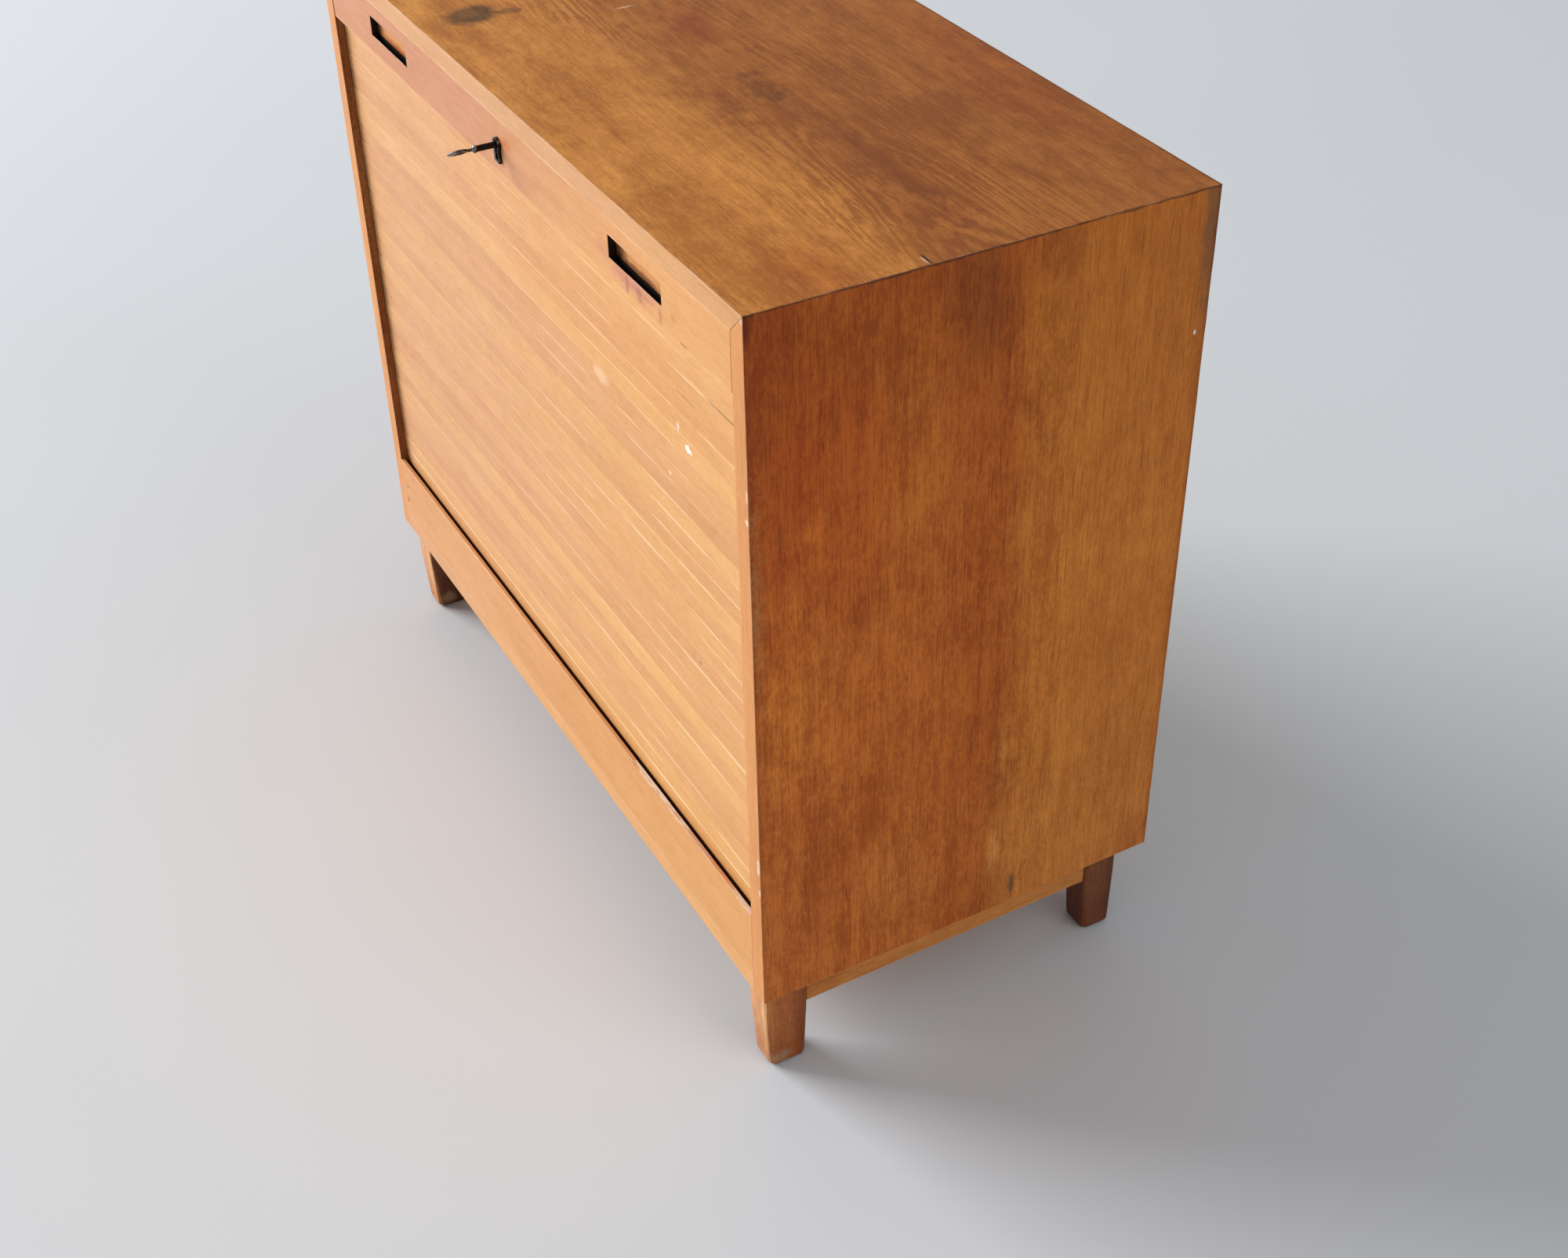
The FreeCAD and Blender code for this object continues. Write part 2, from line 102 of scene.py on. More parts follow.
def vecCalc(tree, operation, first, second=None, scale=None):
    node = newNode(tree, "VectorMath", operation=operation)
    plug(tree, node.inputs[0], first)
    if second is not None:
        plug(tree, node.inputs[1], second)
    if scale is not None:
        plug(tree, node.inputs["Scale"], scale)
    return node.outputs["Value" if operation == "LENGTH" else "Vector"]


def mixColor(tree, factor, first, second, mode="MIX"):
    node = newNode(tree, "Mix", data_type="RGBA", blend_type=mode)
    plug(tree, node.inputs[0], factor)
    plug(tree, node.inputs[6], first)
    plug(tree, node.inputs[7], second)
    return node.outputs[2]


def ramp(tree, value, low, high, toLow=0.0, toHigh=1.0):
    node = newNode(tree, "MapRange", interpolation_type="SMOOTHSTEP")
    return plugAll(tree, node, {"Value": value, "From Min": low, "From Max": high, "To Min": toLow,
                                "To Max": toHigh})["Result"]


def noiseAt(tree, vector, stretch, detail=2.0, output="Fac"):
    node = newNode(tree, "TexNoise")
    stretched = vecCalc(tree, "MULTIPLY", vector, stretch)
    return plugAll(tree, node, {"Vector": stretched, "Scale": 1.0, "Detail": detail})[output]


def split(tree, vector):
    node = newNode(tree, "SeparateXYZ")
    plug(tree, node.inputs[0], vector)
    return node.outputs


def startGroup(name, inputs, outputs):
    group = bpy.data.node_groups.new(name, "ShaderNodeTree")
    for way, sockets in (("INPUT", inputs), ("OUTPUT", outputs)):
        for kind, labels in sockets.items():
            for label in labels:
                group.interface.new_socket(name=label, in_out=way, socket_type="NodeSocket" + kind)
    return group, group.nodes.new("NodeGroupInput").outputs, group.nodes.new("NodeGroupOutput").inputs


def useGroup(tree, group, values):
    return plugAll(tree, newNode(tree, "Group", node_tree=group), values)


# The wood's textures: scale along and across the grain and detail, how much each frays the rings, and how
# much it darkens the wood as a streak or a blotch.
figureLook = {
    "scale": {"streak": (2.6, 80.0, 4.0), "patch": (2.6, 9.0, 4.0), "blotch": (12.0, 30.0, 5.0),
              "mottle": (45.0, 90.0, 4.0), "fibre": (12.0, 420.0, 3.0), "fleck": (150.0, 380.0, 3.0),
              "grain": (190.0, 900.0, 2.0), "dash": (24.0, 820.0, 1.0)},
    "fray": {"streak": 1.5, "mottle": 0.9, "fibre": 0.7, "fleck": 0.5},
    "Streak": {"streak": 1.4, "fibre": 1.2, "grain": 0.8, "fleck": 2.0},
    "Blotch": {"patch": 1.7, "blotch": 1.7, "mottle": 1.4}}


# Wood with its grain along the vector's X: growth rings around a pith that runs slightly askew,
# long streaks, blotches, fibre and open pores.
def makeWoodFigure():
    group, given, out = startGroup(
        "woodFigure",
        {"Vector": ["Vector", "Pith"], "Color": ["Pale", "Deep", "Pore"],
         "Float": ["Seed", "Taper", "Ring Width", "Wander", "Reach", "Figure", "Streak", "Blotch", "Pores"]},
        {"Color": ["Color"], "Float": ["Height", "Dull"]})
    offset = newNode(group, "CombineXYZ")
    for socket in offset.inputs:
        plug(group, socket, given["Seed"])
    place = vecCalc(group, "ADD", given["Vector"], offset.outputs[0])
    sway = noiseAt(group, place, (1.6, 9.0, 9.0), 2.0, "Color")
    sway = vecCalc(group, "SUBTRACT", sway, (0.5, 0.5, 0.5))
    sway = vecCalc(group, "SCALE", sway, scale=given["Wander"])
    bent = vecCalc(group, "SUBTRACT", vecCalc(group, "ADD", given["Vector"], sway), given["Pith"])
    along, across, depth = split(group, bent)
    depth = calc(group, "MULTIPLY_ADD", along, given["Taper"], depth)
    radius = calc(group, "SQRT", calc(group, "ADD", calc(group, "MULTIPLY", across, across),
                                      calc(group, "MULTIPLY", depth, depth)))
    texture = {name: noiseAt(group, place, (lengthwise, crosswise, crosswise), detail)
               for name, (lengthwise, crosswise, detail) in figureLook["scale"].items()}
    # rings with ragged borders, that fade in places and away from the pith
    rings = calc(group, "DIVIDE", radius, given["Ring Width"])
    years = newNode(group, "TexNoise", noise_dimensions="1D")
    years = plugAll(group, years, {"W": calc(group, "MULTIPLY", rings, 0.31), "Scale": 1.0})["Fac"]
    rings = calc(group, "MULTIPLY_ADD", years, 2.4, rings)
    for name, fray in figureLook["fray"].items():
        rings = calc(group, "MULTIPLY_ADD", texture[name], fray, rings)
    saw = calc(group, "FRACT", rings)
    band = calc(group, "MULTIPLY", ramp(group, saw, 0.05, 0.8), ramp(group, saw, 0.84, 1.0, 1.0, 0.0))
    shown = ramp(group, noiseAt(group, place, (5.0, 14.0, 14.0), 3.0), 0.38, 0.66, 0.1, 1.0)
    nearest = calc(group, "MULTIPLY", given["Reach"], 0.3)
    away = ramp(group, calc(group, "ABSOLUTE", across), nearest, given["Reach"], 1.0, 0.08)
    shown = calc(group, "MULTIPLY", shown, away)
    figure = calc(group, "MULTIPLY", shown, given["Figure"])
    pores = ramp(group, texture["dash"], 0.53, 0.68)
    pores = calc(group, "MULTIPLY", pores, ramp(group, saw, 0.8, 0.2, 0.4, 1.0))
    amount = calc(group, "MULTIPLY_ADD", calc(group, "SUBTRACT", band, 0.35), figure, 0.5)
    for gain in ("Streak", "Blotch"):
        for name, weight in figureLook[gain].items():
            part = calc(group, "MULTIPLY", calc(group, "SUBTRACT", texture[name], 0.5), weight)
            amount = calc(group, "MULTIPLY_ADD", part, given[gain], amount)
    color = mixColor(group, calc(group, "MAXIMUM", amount, 0.0, clamp=True), given["Pale"], given["Deep"])
    poreMask = calc(group, "MULTIPLY", pores, given["Pores"], clamp=True)
    plug(group, out["Color"], mixColor(group, poreMask, color, given["Pore"]))
    height = calc(group, "MULTIPLY_ADD", pores, -0.8, calc(group, "MULTIPLY", texture["fibre"], 0.5))
    plug(group, out["Height"], height)
    dull = calc(group, "MULTIPLY_ADD", texture["blotch"], 0.5, calc(group, "MULTIPLY", pores, 0.5))
    plug(group, out["Dull"], dull)
    return group


# A soft-edged mark around a point.
def makeStainSpot():
    group, given, out = startGroup(
        "stainSpot",
        {"Vector": ["Vector", "Centre", "Size"], "Float": ["Ragged", "Fine", "Soft"]}, {"Float": ["Mask"]})
    away = vecCalc(group, "SUBTRACT", given["Vector"], given["Centre"])
    away = vecCalc(group, "DIVIDE", away, given["Size"])
    torn = newNode(group, "TexNoise")
    torn = plugAll(group, torn, {"Vector": given["Vector"], "Scale": given["Fine"], "Detail": 3.0})["Fac"]
    torn = calc(group, "SUBTRACT", torn, 0.5)
    reach = calc(group, "MULTIPLY_ADD", torn, given["Ragged"], vecCalc(group, "LENGTH", away))
    plug(group, out["Mask"], ramp(group, reach, calc(group, "SUBTRACT", 1.0, given["Soft"]), 1.0, 1.0, 0.0))
    return group


# Bare, rubbed wood along the edges of a board, from the distance to the second nearest face of its box.
def makeArrisWear():
    group, given, out = startGroup(
        "arrisWear",
        {"Vector": ["Vector", "Low", "High"], "Float": ["Reach", "Break"]}, {"Float": ["Mask"]})
    near = vecCalc(group, "MINIMUM", vecCalc(group, "SUBTRACT", given["Vector"], given["Low"]),
                   vecCalc(group, "SUBTRACT", given["High"], given["Vector"]))
    first, second, third = split(group, near)
    middle = calc(group, "MAXIMUM", calc(group, "MINIMUM", first, second),
                  calc(group, "MINIMUM", calc(group, "MAXIMUM", first, second), third))
    coarse = noiseAt(group, given["Vector"], (14.0, 14.0, 14.0), 2.0)
    fine = noiseAt(group, given["Vector"], (170.0, 170.0, 170.0), 2.0)
    reach = calc(group, "MULTIPLY", given["Reach"], ramp(group, coarse, 0.3, 0.7, 0.35, 1.6))
    edge = ramp(group, middle, 0.0, reach, 1.0, 0.0)
    broken = calc(group, "MULTIPLY_ADD", calc(group, "SUBTRACT", fine, 0.5), given["Break"], edge)
    plug(group, out["Mask"], calc(group, "MULTIPLY", ramp(group, broken, 0.35, 0.75), edge))
    return group


woodFigure = makeWoodFigure()
stainSpot = makeStainSpot()
arrisWear = makeArrisWear()
print("shader groups made")


def startMaterial(name):
    material = bpy.data.materials.new(name)
    material.use_nodes = True
    tree = material.node_tree
    shader = tree.nodes["Principled BSDF"]
    return material, tree, shader, newNode(tree, "TexCoord").outputs["Object"]


def addBump(tree, shader, height, distance):
    bump = plugAll(tree, newNode(tree, "Bump"), {"Strength": 1.0, "Distance": distance, "Height": height})
    plug(tree, shader.inputs["Normal"], bump["Normal"])


# A spot on a board: its place, half sizes and amount, and how ragged, fine and soft its border is.
def spot(at, size, amount, border=(0.6, 40.0, 0.8)):
    return {"at": at, "size": size, "amount": amount, "border": border}


# a stain or tone that the wood shows through
def tint(at, size, color, *rest):
    return dict(spot(at, size, *rest), color=color, mode="MULTIPLY")


# bare wood, paint or dirt that hides the wood
def cover(at, size, color, *rest):
    return dict(spot(at, size, *rest), color=color, mode="MIX")


def spotMask(tree, place, look):
    ragged, fine, soft = look["border"]
    mask = useGroup(tree, stainSpot, {"Vector": place, "Centre": look["at"], "Size": look["size"],
                                      "Ragged": ragged, "Fine": fine, "Soft": soft})["Mask"]
    return calc(tree, "MULTIPLY", mask, look["amount"])


def addMarks(tree, color, place, marks):
    for mark in marks:
        color = mixColor(tree, spotMask(tree, place, mark), color, mark["color"], mark["mode"])
    return color


def useFigure(tree, vector, look, streak, blotch):
    values = {"Vector": vector, "Ring Width": look["rings"], "Streak": streak, "Blotch": blotch}
    for label in ("Seed", "Pith", "Taper", "Wander", "Reach", "Pale", "Deep", "Pore", "Figure", "Pores"):
        values[label] = look[label.lower()]
    return useGroup(tree, woodFigure, values)


# One board's wood. Its marks lie under the rubbed edges and its grime over them, and its grain is quieter
# where the look is calm.
def boardWood(name, look, low, high):
    material, tree, shader, place = startMaterial(name)
    turned = plugAll(tree, newNode(tree, "Mapping"), {"Rotation": look["turn"], "Vector": place})["Vector"]
    streak, blotch = look["streak"], look["blotch"]
    if look["calm"]:
        lively = calc(tree, "SUBTRACT", 1.0, spotMask(tree, place, look["calm"]))
        streak = calc(tree, "MULTIPLY", lively, streak)
        blotch = calc(tree, "MULTIPLY", lively, blotch)
    wood = useFigure(tree, turned, look, streak, blotch)
    color = addMarks(tree, wood["Color"], place, look["marks"])
    rubbed = useGroup(tree, arrisWear, {
        "Vector": place, "Low": low, "High": high, "Reach": look["wear"], "Break": look["broken"]})
    bare = calc(tree, "MULTIPLY", rubbed["Mask"], look["wearAmount"])
    color = addMarks(tree, mixColor(tree, bare, color, look["worn"]), place, look["grime"])
    rough = calc(tree, "MULTIPLY_ADD", wood["Dull"], look["dull"], look["rough"])
    rough = calc(tree, "MULTIPLY_ADD", bare, look["bareDull"], rough, clamp=True)
    plugAll(tree, shader, {"Base Color": color, "Roughness": rough, "Specular IOR Level": look["sheen"]})
    addBump(tree, shader, wood["Height"], look["relief"])
    return material


alongX = (0.0, 0.0, 0.0)
alongZ = (0.0, math.radians(90), 0.0)
alongY = (0.0, 0.0, math.radians(-90))

# every wood starts from this one; ease rounds a board's edges and rub wears them unevenly
oak = {"turn": alongX, "seed": 0.0, "pith": (0.0, 0.0, -0.2), "taper": 0.04, "rings": 0.0042, "wander": 0.02,
       "reach": far, "figure": 0.3, "streak": 0.6, "blotch": 0.6, "pores": 0.4, "calm": None,
       "pale": (0.74, 0.257, 0.052), "deep": (0.49, 0.135, 0.022), "pore": (0.24, 0.06, 0.012),
       "worn": (0.84, 0.56, 0.36), "wear": 0.0016, "wearAmount": 0.6, "broken": 1.1, "marks": [], "grime": [],
       "rough": 0.38, "dull": 0.22, "bareDull": 0.2, "sheen": 0.22, "relief": 0.0001,
       "ease": 0.0006, "rub": 0.0006}


# mesh helpers

def startBoard(low, high):
    bm = bmesh.new()
    bmesh.ops.create_cube(bm, size=1.0)
    bmesh.ops.scale(bm, vec=high - low, verts=bm.verts)
    bmesh.ops.translate(bm, vec=(low + high) / 2, verts=bm.verts)
    return bm


# a merged copy of a solid's mesh, with its flat faces made whole again
def copyNode(name, flatten=True):
    bm = bmesh.new()
    bm.from_mesh(cad[name].data)
    bmesh.ops.remove_doubles(bm, verts=bm.verts, dist=weld)
    if flatten:
        bmesh.ops.dissolve_limit(bm, angle_limit=math.radians(0.5), verts=bm.verts, edges=bm.edges)
    return bm


def cornerEdges(bm, wanted=None, sharp=0.5):
    found = []
    for edge in bm.edges:
        if len(edge.link_faces) == 2 and edge.is_convex and edge.calc_face_angle() > sharp:
            middle = (edge.verts[0].co + edge.verts[1].co) / 2
            if wanted is None or wanted(middle, edge):
                found.append(edge)
    return found


def roundEdges(bm, edges, width):
    return bmesh.ops.bevel(bm, geom=edges, affect="EDGES", offset=width, offset_type="OFFSET", segments=2,
                           profile=0.5, material=-1, clamp_overlap=True)["faces"]


rubLook = {"coarse": 30.0, "fine": 140.0, "fineShare": 0.7}


# Cuts edges into short lengths, rounds them and rubs them unevenly, with the flat faces kept flat.
def easeEdges(bm, edges, look, step=0.006):
    short = []
    for edge in edges:
        cuts = int(edge.calc_length() / step)
        if cuts:
            made = bmesh.ops.subdivide_edges(bm, edges=[edge], cuts=cuts)["geom_split"]
            short += [part for part in made if isinstance(part, bmesh.types.BMEdge)]
        else:
            short.append(edge)
    rounded = set(roundEdges(bm, list(dict.fromkeys(short)), look["ease"]))
    bm.normal_update()
    for vert in {vert for face in rounded for vert in face.verts}:
        rough = noise.noise(vert.co * rubLook["coarse"])
        rough += rubLook["fineShare"] * noise.noise(vert.co * rubLook["fine"])
        push = vert.normal * look["rub"] * max(rough, 0.0)
        for face in vert.link_faces:
            if face not in rounded:
                push -= face.normal * push.dot(face.normal)
        vert.co -= push


def paint(bm, index, wanted):
    for face in bm.faces:
        if wanted(face.calc_center_median(), face.normal):
            face.material_index = index


def linkMesh(bm, name, materials, smooth=False):
    mesh = bpy.data.meshes.new(name)
    for face in bm.faces:
        face.smooth = smooth
    bm.to_mesh(mesh)
    bm.free()
    for material in materials:
        mesh.materials.append(material)
    made = bpy.data.objects.new(name, mesh)
    scene.collection.objects.link(made)
    return made


def finishPiece(bm, name, materials, body, slot, *replaced, smooth=False):
    piece = linkMesh(bm, name, materials, smooth)
    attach(piece, body)
    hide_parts(*replaced)
    return piece


# a board in place of one solid; looks are its woods in the order of their painted numbers
def finishBoard(bm, name, node, looks, body="cabinet", slot="case_wood"):
    low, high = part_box(node)
    woods = [boardWood(wood, look, low, high) for wood, look in looks.items()]
    finishPiece(bm, name, woods, body, slot, node)


# the long edges on the outside of the box
def outerEdge(middle, edge):
    onFace = middle.y < boxFront + touch or middle.z > boxTop - touch or abs(middle.x) > boxRight - touch
    return onFace and edge.calc_length() > longEdge


def onFront(middle, normal):
    return normal.y < -0.6 and middle.y < boxFront + 0.002


# the front edges of the case and the rails across it share one paler wood

frontLook = dict(
    oak, pith=(0.2, 0.5, 0.6), taper=0.02, rings=0.005, wander=0.02, seed=2.6, figure=0.12, streak=0.34,
    blotch=0.35, pores=0.2, pale=(0.85, 0.43, 0.155), deep=(0.68, 0.305, 0.098), pore=(0.48, 0.19, 0.06),
    worn=(0.88, 0.58, 0.38), wear=0.0018, wearAmount=0.45)


# top board, mitred at both ends

topLook = dict(
    oak, pith=(0.0, 0.012, 0.738), taper=-0.075, rings=0.0052, wander=0.05, reach=0.15, seed=0.31,
    figure=0.85, streak=0.5, blotch=0.85, pores=0.3, pale=(0.69, 0.272, 0.049), deep=(0.41, 0.13, 0.017),
    pore=(0.2, 0.055, 0.01), worn=(0.74, 0.44, 0.28), wear=0.002, wearAmount=0.4,
    marks=[
        # darker towards the back
        tint((0.0, 0.12, 0.8), (far, 0.21, far), (0.66, 0.56, 0.43), 1.0, (0.5, 9.0, 0.5)),
        # brown figure about the pith
        tint((-0.06, 0.028, boxTop), (0.07, 0.03, 0.1), (0.78, 0.55, 0.5), 0.8, (1.5, 26.0, 0.8)),
        tint((0.1, 0.012, boxTop), (0.055, 0.02, 0.1), (0.6, 0.52, 0.5), 0.85, (2.2, 60.0, 0.7)),
        tint((0.12, -0.03, boxTop), (0.05, 0.02, 0.1), (0.72, 0.62, 0.58), 0.7, (2.2, 60.0, 0.7)),
        tint((0.24, 0.026, boxTop), (0.17, 0.017, 0.1), (0.74, 0.66, 0.6), 0.55, (1.9, 50.0, 0.8)),
        tint((0.39, 0.03, boxTop), (0.035, 0.03, 0.1), (0.82, 0.72, 0.64), 0.55, (2.0, 60.0, 0.8)),
        # paler in front, redder at the right
        tint((0.1, -0.185, boxTop), (far, 0.045, 0.1), (1.14, 1.22, 1.35), 0.8, (1.0, 16.0, 0.9)),
        tint((0.43, -0.11, boxTop), (0.09, 0.05, 0.1), (0.86, 0.7, 0.56), 0.8, (0.9, 16.0, 0.9)),
        tint((0.36, 0.005, boxTop), (0.12, 0.045, 0.1), (0.88, 0.8, 0.74), 0.7, (1.2, 30.0, 0.8)),
        tint((0.18, 0.2, boxTop), (0.2, 0.05, 0.1), (1.02, 0.86, 0.78), 0.7, (1.2, 14.0, 0.6)),
        # ring stain
        tint((-0.179, -0.135, boxTop), (0.03, 0.034, 0.05), (0.2, 0.22, 0.24), 0.92, (0.8, 60.0, 0.6)),
        tint((-0.184, -0.139, boxTop), (0.014, 0.012, 0.05), (1.5, 1.5, 1.5), 0.7, (0.6, 40.0, 0.6)),
        tint((-0.171, -0.101, boxTop), (0.01, 0.016, 0.05), (0.45, 0.45, 0.45), 0.8, (1.4, 90.0, 0.6)),
        # scratch, and a split at the right end
        cover((-0.126, -0.006, boxTop), (0.0022, 0.013, 0.05), (0.75, 0.5, 0.3), 0.7, (0.6, 40.0, 0.9)),
        tint((0.441, -0.031, boxTop), (0.012, 0.0014, 0.01), (0.1, 0.08, 0.07), 0.95, (0.6, 40.0, 0.6)),
        cover((0.442, -0.0335, boxTop), (0.008, 0.0012, 0.01), (0.7, 0.5, 0.36), 0.8, (0.6, 40.0, 0.6)),
    ],
    grime=[
        # dirt in the joint with the right side and along the back
        tint((boxRight + 0.0005, 0.0, boxTop), (0.0028, far, far), (0.28, 0.22, 0.19), 0.9, (1.7, 55.0, 0.7)),
        tint((0.0, 0.236, boxTop), (far, 0.0035, far), (0.4, 0.34, 0.3), 0.8, (0.9, 60.0, 0.9)),
    ])

topEdgeLook = dict(
    frontLook, seed=7.7, pale=(0.76, 0.41, 0.19), deep=(0.6, 0.29, 0.125),
    marks=[
        tint((0.36, boxFront, 0.8), (0.25, far, far), (1.0, 0.96, 0.82), 0.9, (0.6, 40.0, 0.9)),
    ])

# the mitre has opened a little in its lower part
jointLook = dict(
    frontLook, pale=(0.14, 0.085, 0.05), deep=(0.08, 0.05, 0.03), wearAmount=0.0, sheen=0.1,
    halfWide=0.0007, inward=0.001, belowTop=0.007)


def makeTop():
    bm = copyNode("top_panel")

    def openJoint(middle, normal):
        offMitre = abs(boxRight - abs(middle.x) - boxTop + middle.z)
        inFront = middle.y < boxFront + jointLook["inward"]
        return offMitre < jointLook["halfWide"] and inFront and middle.z < boxTop - jointLook["belowTop"]

    easeEdges(bm, cornerEdges(bm, outerEdge), topLook)
    paint(bm, 1, onFront)
    paint(bm, 2, openJoint)
    finishBoard(bm, "topBoard", "top_panel",
                {"topOak": topLook, "topEdgeOak": topEdgeLook, "mitreShade": jointLook})


# sides, with the curtain's track

sideLook = dict(
    oak, turn=alongZ, pith=(0.3, 0.02, -0.36), taper=0.03, rings=0.0045, wander=0.05, seed=1.7, figure=0.12,
    streak=0.92, blotch=0.98, pores=0.45, pale=(0.74, 0.26, 0.04), deep=(0.49, 0.135, 0.015),
    pore=(0.22, 0.05, 0.006), worn=(0.66, 0.34, 0.15), wear=0.0014, wearAmount=0.3, sheen=0.18,
    calm=spot((boxRight, 0.24, 0.45), (far, 0.19, far), 0.46, (0.6, 9.0, 0.5)),
    marks=[
        # redder front half, and tones up and down the side
        tint((boxRight, -0.075, 0.45), (far, 0.158, far), (0.84, 0.65, 0.55), 1.0, (0.4, 7.0, 0.3)),
        tint((boxRight, 0.0, 0.1), (far, far, 0.3), (1.0, 1.03, 1.15), 1.0, (0.6, 9.0, 0.8)),
        tint((boxRight, -0.05, 0.65), (far, 0.05, 0.15), (1.1, 1.26, 1.3), 0.8, (1.0, 16.0, 0.8)),
        tint((boxRight, 0.0, 0.86), (far, far, 0.42), (0.76, 0.66, 0.46), 1.0, (0.5, 9.0, 1.0)),
        tint((boxRight, -0.17, 0.66), (far, 0.06, 0.3), (0.9, 0.74, 0.6), 0.8, (1.0, 16.0, 0.8)),
        tint((boxRight, 0.015, 0.775), (0.1, 0.042, 0.1), (0.6, 0.62, 0.68), 0.8, (1.2, 22.0, 0.8)),
        tint((boxRight, 0.05, 0.4), (0.1, 0.075, 0.55), (0.85, 0.76, 0.64), 0.9, (0.9, 14.0, 0.8)),
        tint((boxRight, -0.09, 0.51), (0.1, 0.018, 0.035), (0.78, 0.66, 0.56), 0.8, (1.6, 34.0, 0.8)),
        tint((boxRight, 0.065, 0.70), (0.1, 0.025, 0.04), (1.2, 1.3, 1.35), 0.6, (1.2, 40.0, 0.8)),
        # pale wisps
        tint((boxRight, -0.155, 0.45), (0.1, 0.045, 0.15), (1.3, 1.6, 1.65), 0.6, (1.8, 38.0, 0.9)),
        tint((boxRight, -0.132, 0.6), (0.1, 0.014, 0.06), (1.25, 1.5, 1.6), 0.6, (2.2, 60.0, 0.9)),
        tint((boxRight, -0.07, 0.43), (0.1, 0.02, 0.018), (1.25, 1.4, 1.3), 0.6, (0.6, 40.0, 0.9)),
        # softer tones
        tint((boxRight, -0.12, 0.23), (0.1, 0.06, 0.09), (0.88, 0.78, 0.74), 0.35, (1.2, 20.0, 0.8)),
        tint((boxRight, -0.11, 0.63), (0.1, 0.09, 0.15), (0.96, 0.8, 0.66), 0.85, (0.9, 14.0, 0.8)),
        tint((boxRight, -0.05, 0.2), (0.1, 0.06, 0.1), (1.06, 1.2, 1.4), 0.8, (0.9, 14.0, 0.9)),
        tint((boxRight, 0.055, 0.135), (0.1, 0.05, 0.045), (0.8, 0.76, 0.76), 0.8, (0.9, 20.0, 0.8)),
        tint((boxRight, 0.085, 0.79), (0.1, 0.03, 0.035), (0.76, 0.68, 0.8), 0.8, (1.0, 30.0, 0.8)),
        tint((boxRight, 0.22, 0.125), (0.1, 0.04, 0.045), (0.8, 0.7, 0.7), 0.8, (0.9, 30.0, 0.8)),
        # streaks beside the middle
        tint((boxRight, 0.052, 0.27), (0.1, 0.012, 0.09), (0.72, 0.68, 0.66), 0.7, (1.5, 50.0, 0.8)),
        tint((boxRight, 0.052, 0.186), (0.1, 0.0085, 0.048), (1.2, 1.5, 2.1), 0.95, (0.8, 60.0, 0.9)),
        tint((boxRight, 0.067, 0.213), (0.1, 0.008, 0.05), (0.88, 0.84, 0.8), 0.9, (1.0, 50.0, 0.9)),
        tint((boxRight, 0.057, 0.3), (0.1, 0.009, 0.052), (1.2, 1.42, 2.0), 0.9, (2.2, 75.0, 0.9)),
        tint((boxRight, 0.055, 0.705), (0.1, 0.0028, 0.026), (0.7, 0.58, 0.55), 0.85, (1.1, 70.0, 0.9)),
        tint((boxRight, 0.041, 0.703), (0.1, 0.0024, 0.022), (0.72, 0.6, 0.56), 0.8, (1.1, 70.0, 0.9)),
        # stain at the foot, paint speck near the back
        tint((boxRight, 0.077, 0.129), (0.1, 0.005, 0.021), (0.33, 0.52, 1.3), 0.92, (0.7, 90.0, 0.8)),
        cover((boxRight, 0.225, 0.68), (0.01, 0.0016, 0.003), (0.85, 0.8, 0.74), 0.9, (0.6, 40.0, 0.6)),
        # inner face
        tint((insideRight, 0.0, 0.45), (0.008, far, far), (0.85, 1.15, 2.0), 1.0, (0.6, 40.0, 0.4)),
    ],
    grime=[
        # dirt in the top joint
        tint((boxRight, 0.0, boxTop + 0.0005), (far, far, 0.0028), (0.34, 0.28, 0.26), 0.9, (1.7, 50.0, 0.7)),
        # handled front edge
        tint((boxRight, boxFront, 0.45), (far, 0.0055, far), (0.66, 0.6, 0.58), 0.5, (1.7, 60.0, 0.8)),
        tint((boxRight, boxFront, 0.802), (far, 0.009, 0.024), (0.45, 0.42, 0.42), 0.85, (1.3, 90.0, 0.7)),
        cover((boxRight, boxFront + 0.005, 0.55), (far, 0.006, 0.1), (0.42, 0.21, 0.07), 0.4,
              (4.5, 260.0, 0.8)),
        # dark back corner and back edge
        cover((boxRight, 0.238, 0.815), (far, 0.021, 0.17), (0.16, 0.083, 0.04), 0.62, (0.7, 40.0, 0.45)),
        tint((boxRight, 0.2365, 0.45), (far, 0.006, far), (0.68, 0.6, 0.54), 0.8, (0.8, 40.0, 0.7)),
    ])

sideEdgeLook = dict(
    frontLook, turn=alongZ, seed=4.4, pith=(0.2, 0.4, 0.3), pale=(0.82, 0.37, 0.125),
    deep=(0.62, 0.24, 0.072),
    marks=[
        # chips in the front edge
        cover((0.448, boxFront, 0.632), (0.003, 0.01, 0.004), (0.9, 0.62, 0.42), 0.9, (1.4, 200.0, 0.4)),
        cover((0.4495, boxFront, 0.655), (0.0025, 0.01, 0.007), (0.88, 0.56, 0.36), 0.8, (1.4, 200.0, 0.4)),
        cover((0.4485, boxFront, 0.275), (0.003, 0.01, 0.012), (0.9, 0.64, 0.46), 0.8, (1.6, 160.0, 0.4)),
        cover((0.4495, boxFront, 0.245), (0.002, 0.01, 0.004), (0.9, 0.62, 0.44), 0.8, (1.6, 160.0, 0.4)),
        cover((0.4485, boxFront, 0.8035), (0.003, 0.01, 0.004), (0.82, 0.5, 0.34), 0.7, (1.6, 220.0, 0.5)),
    ])

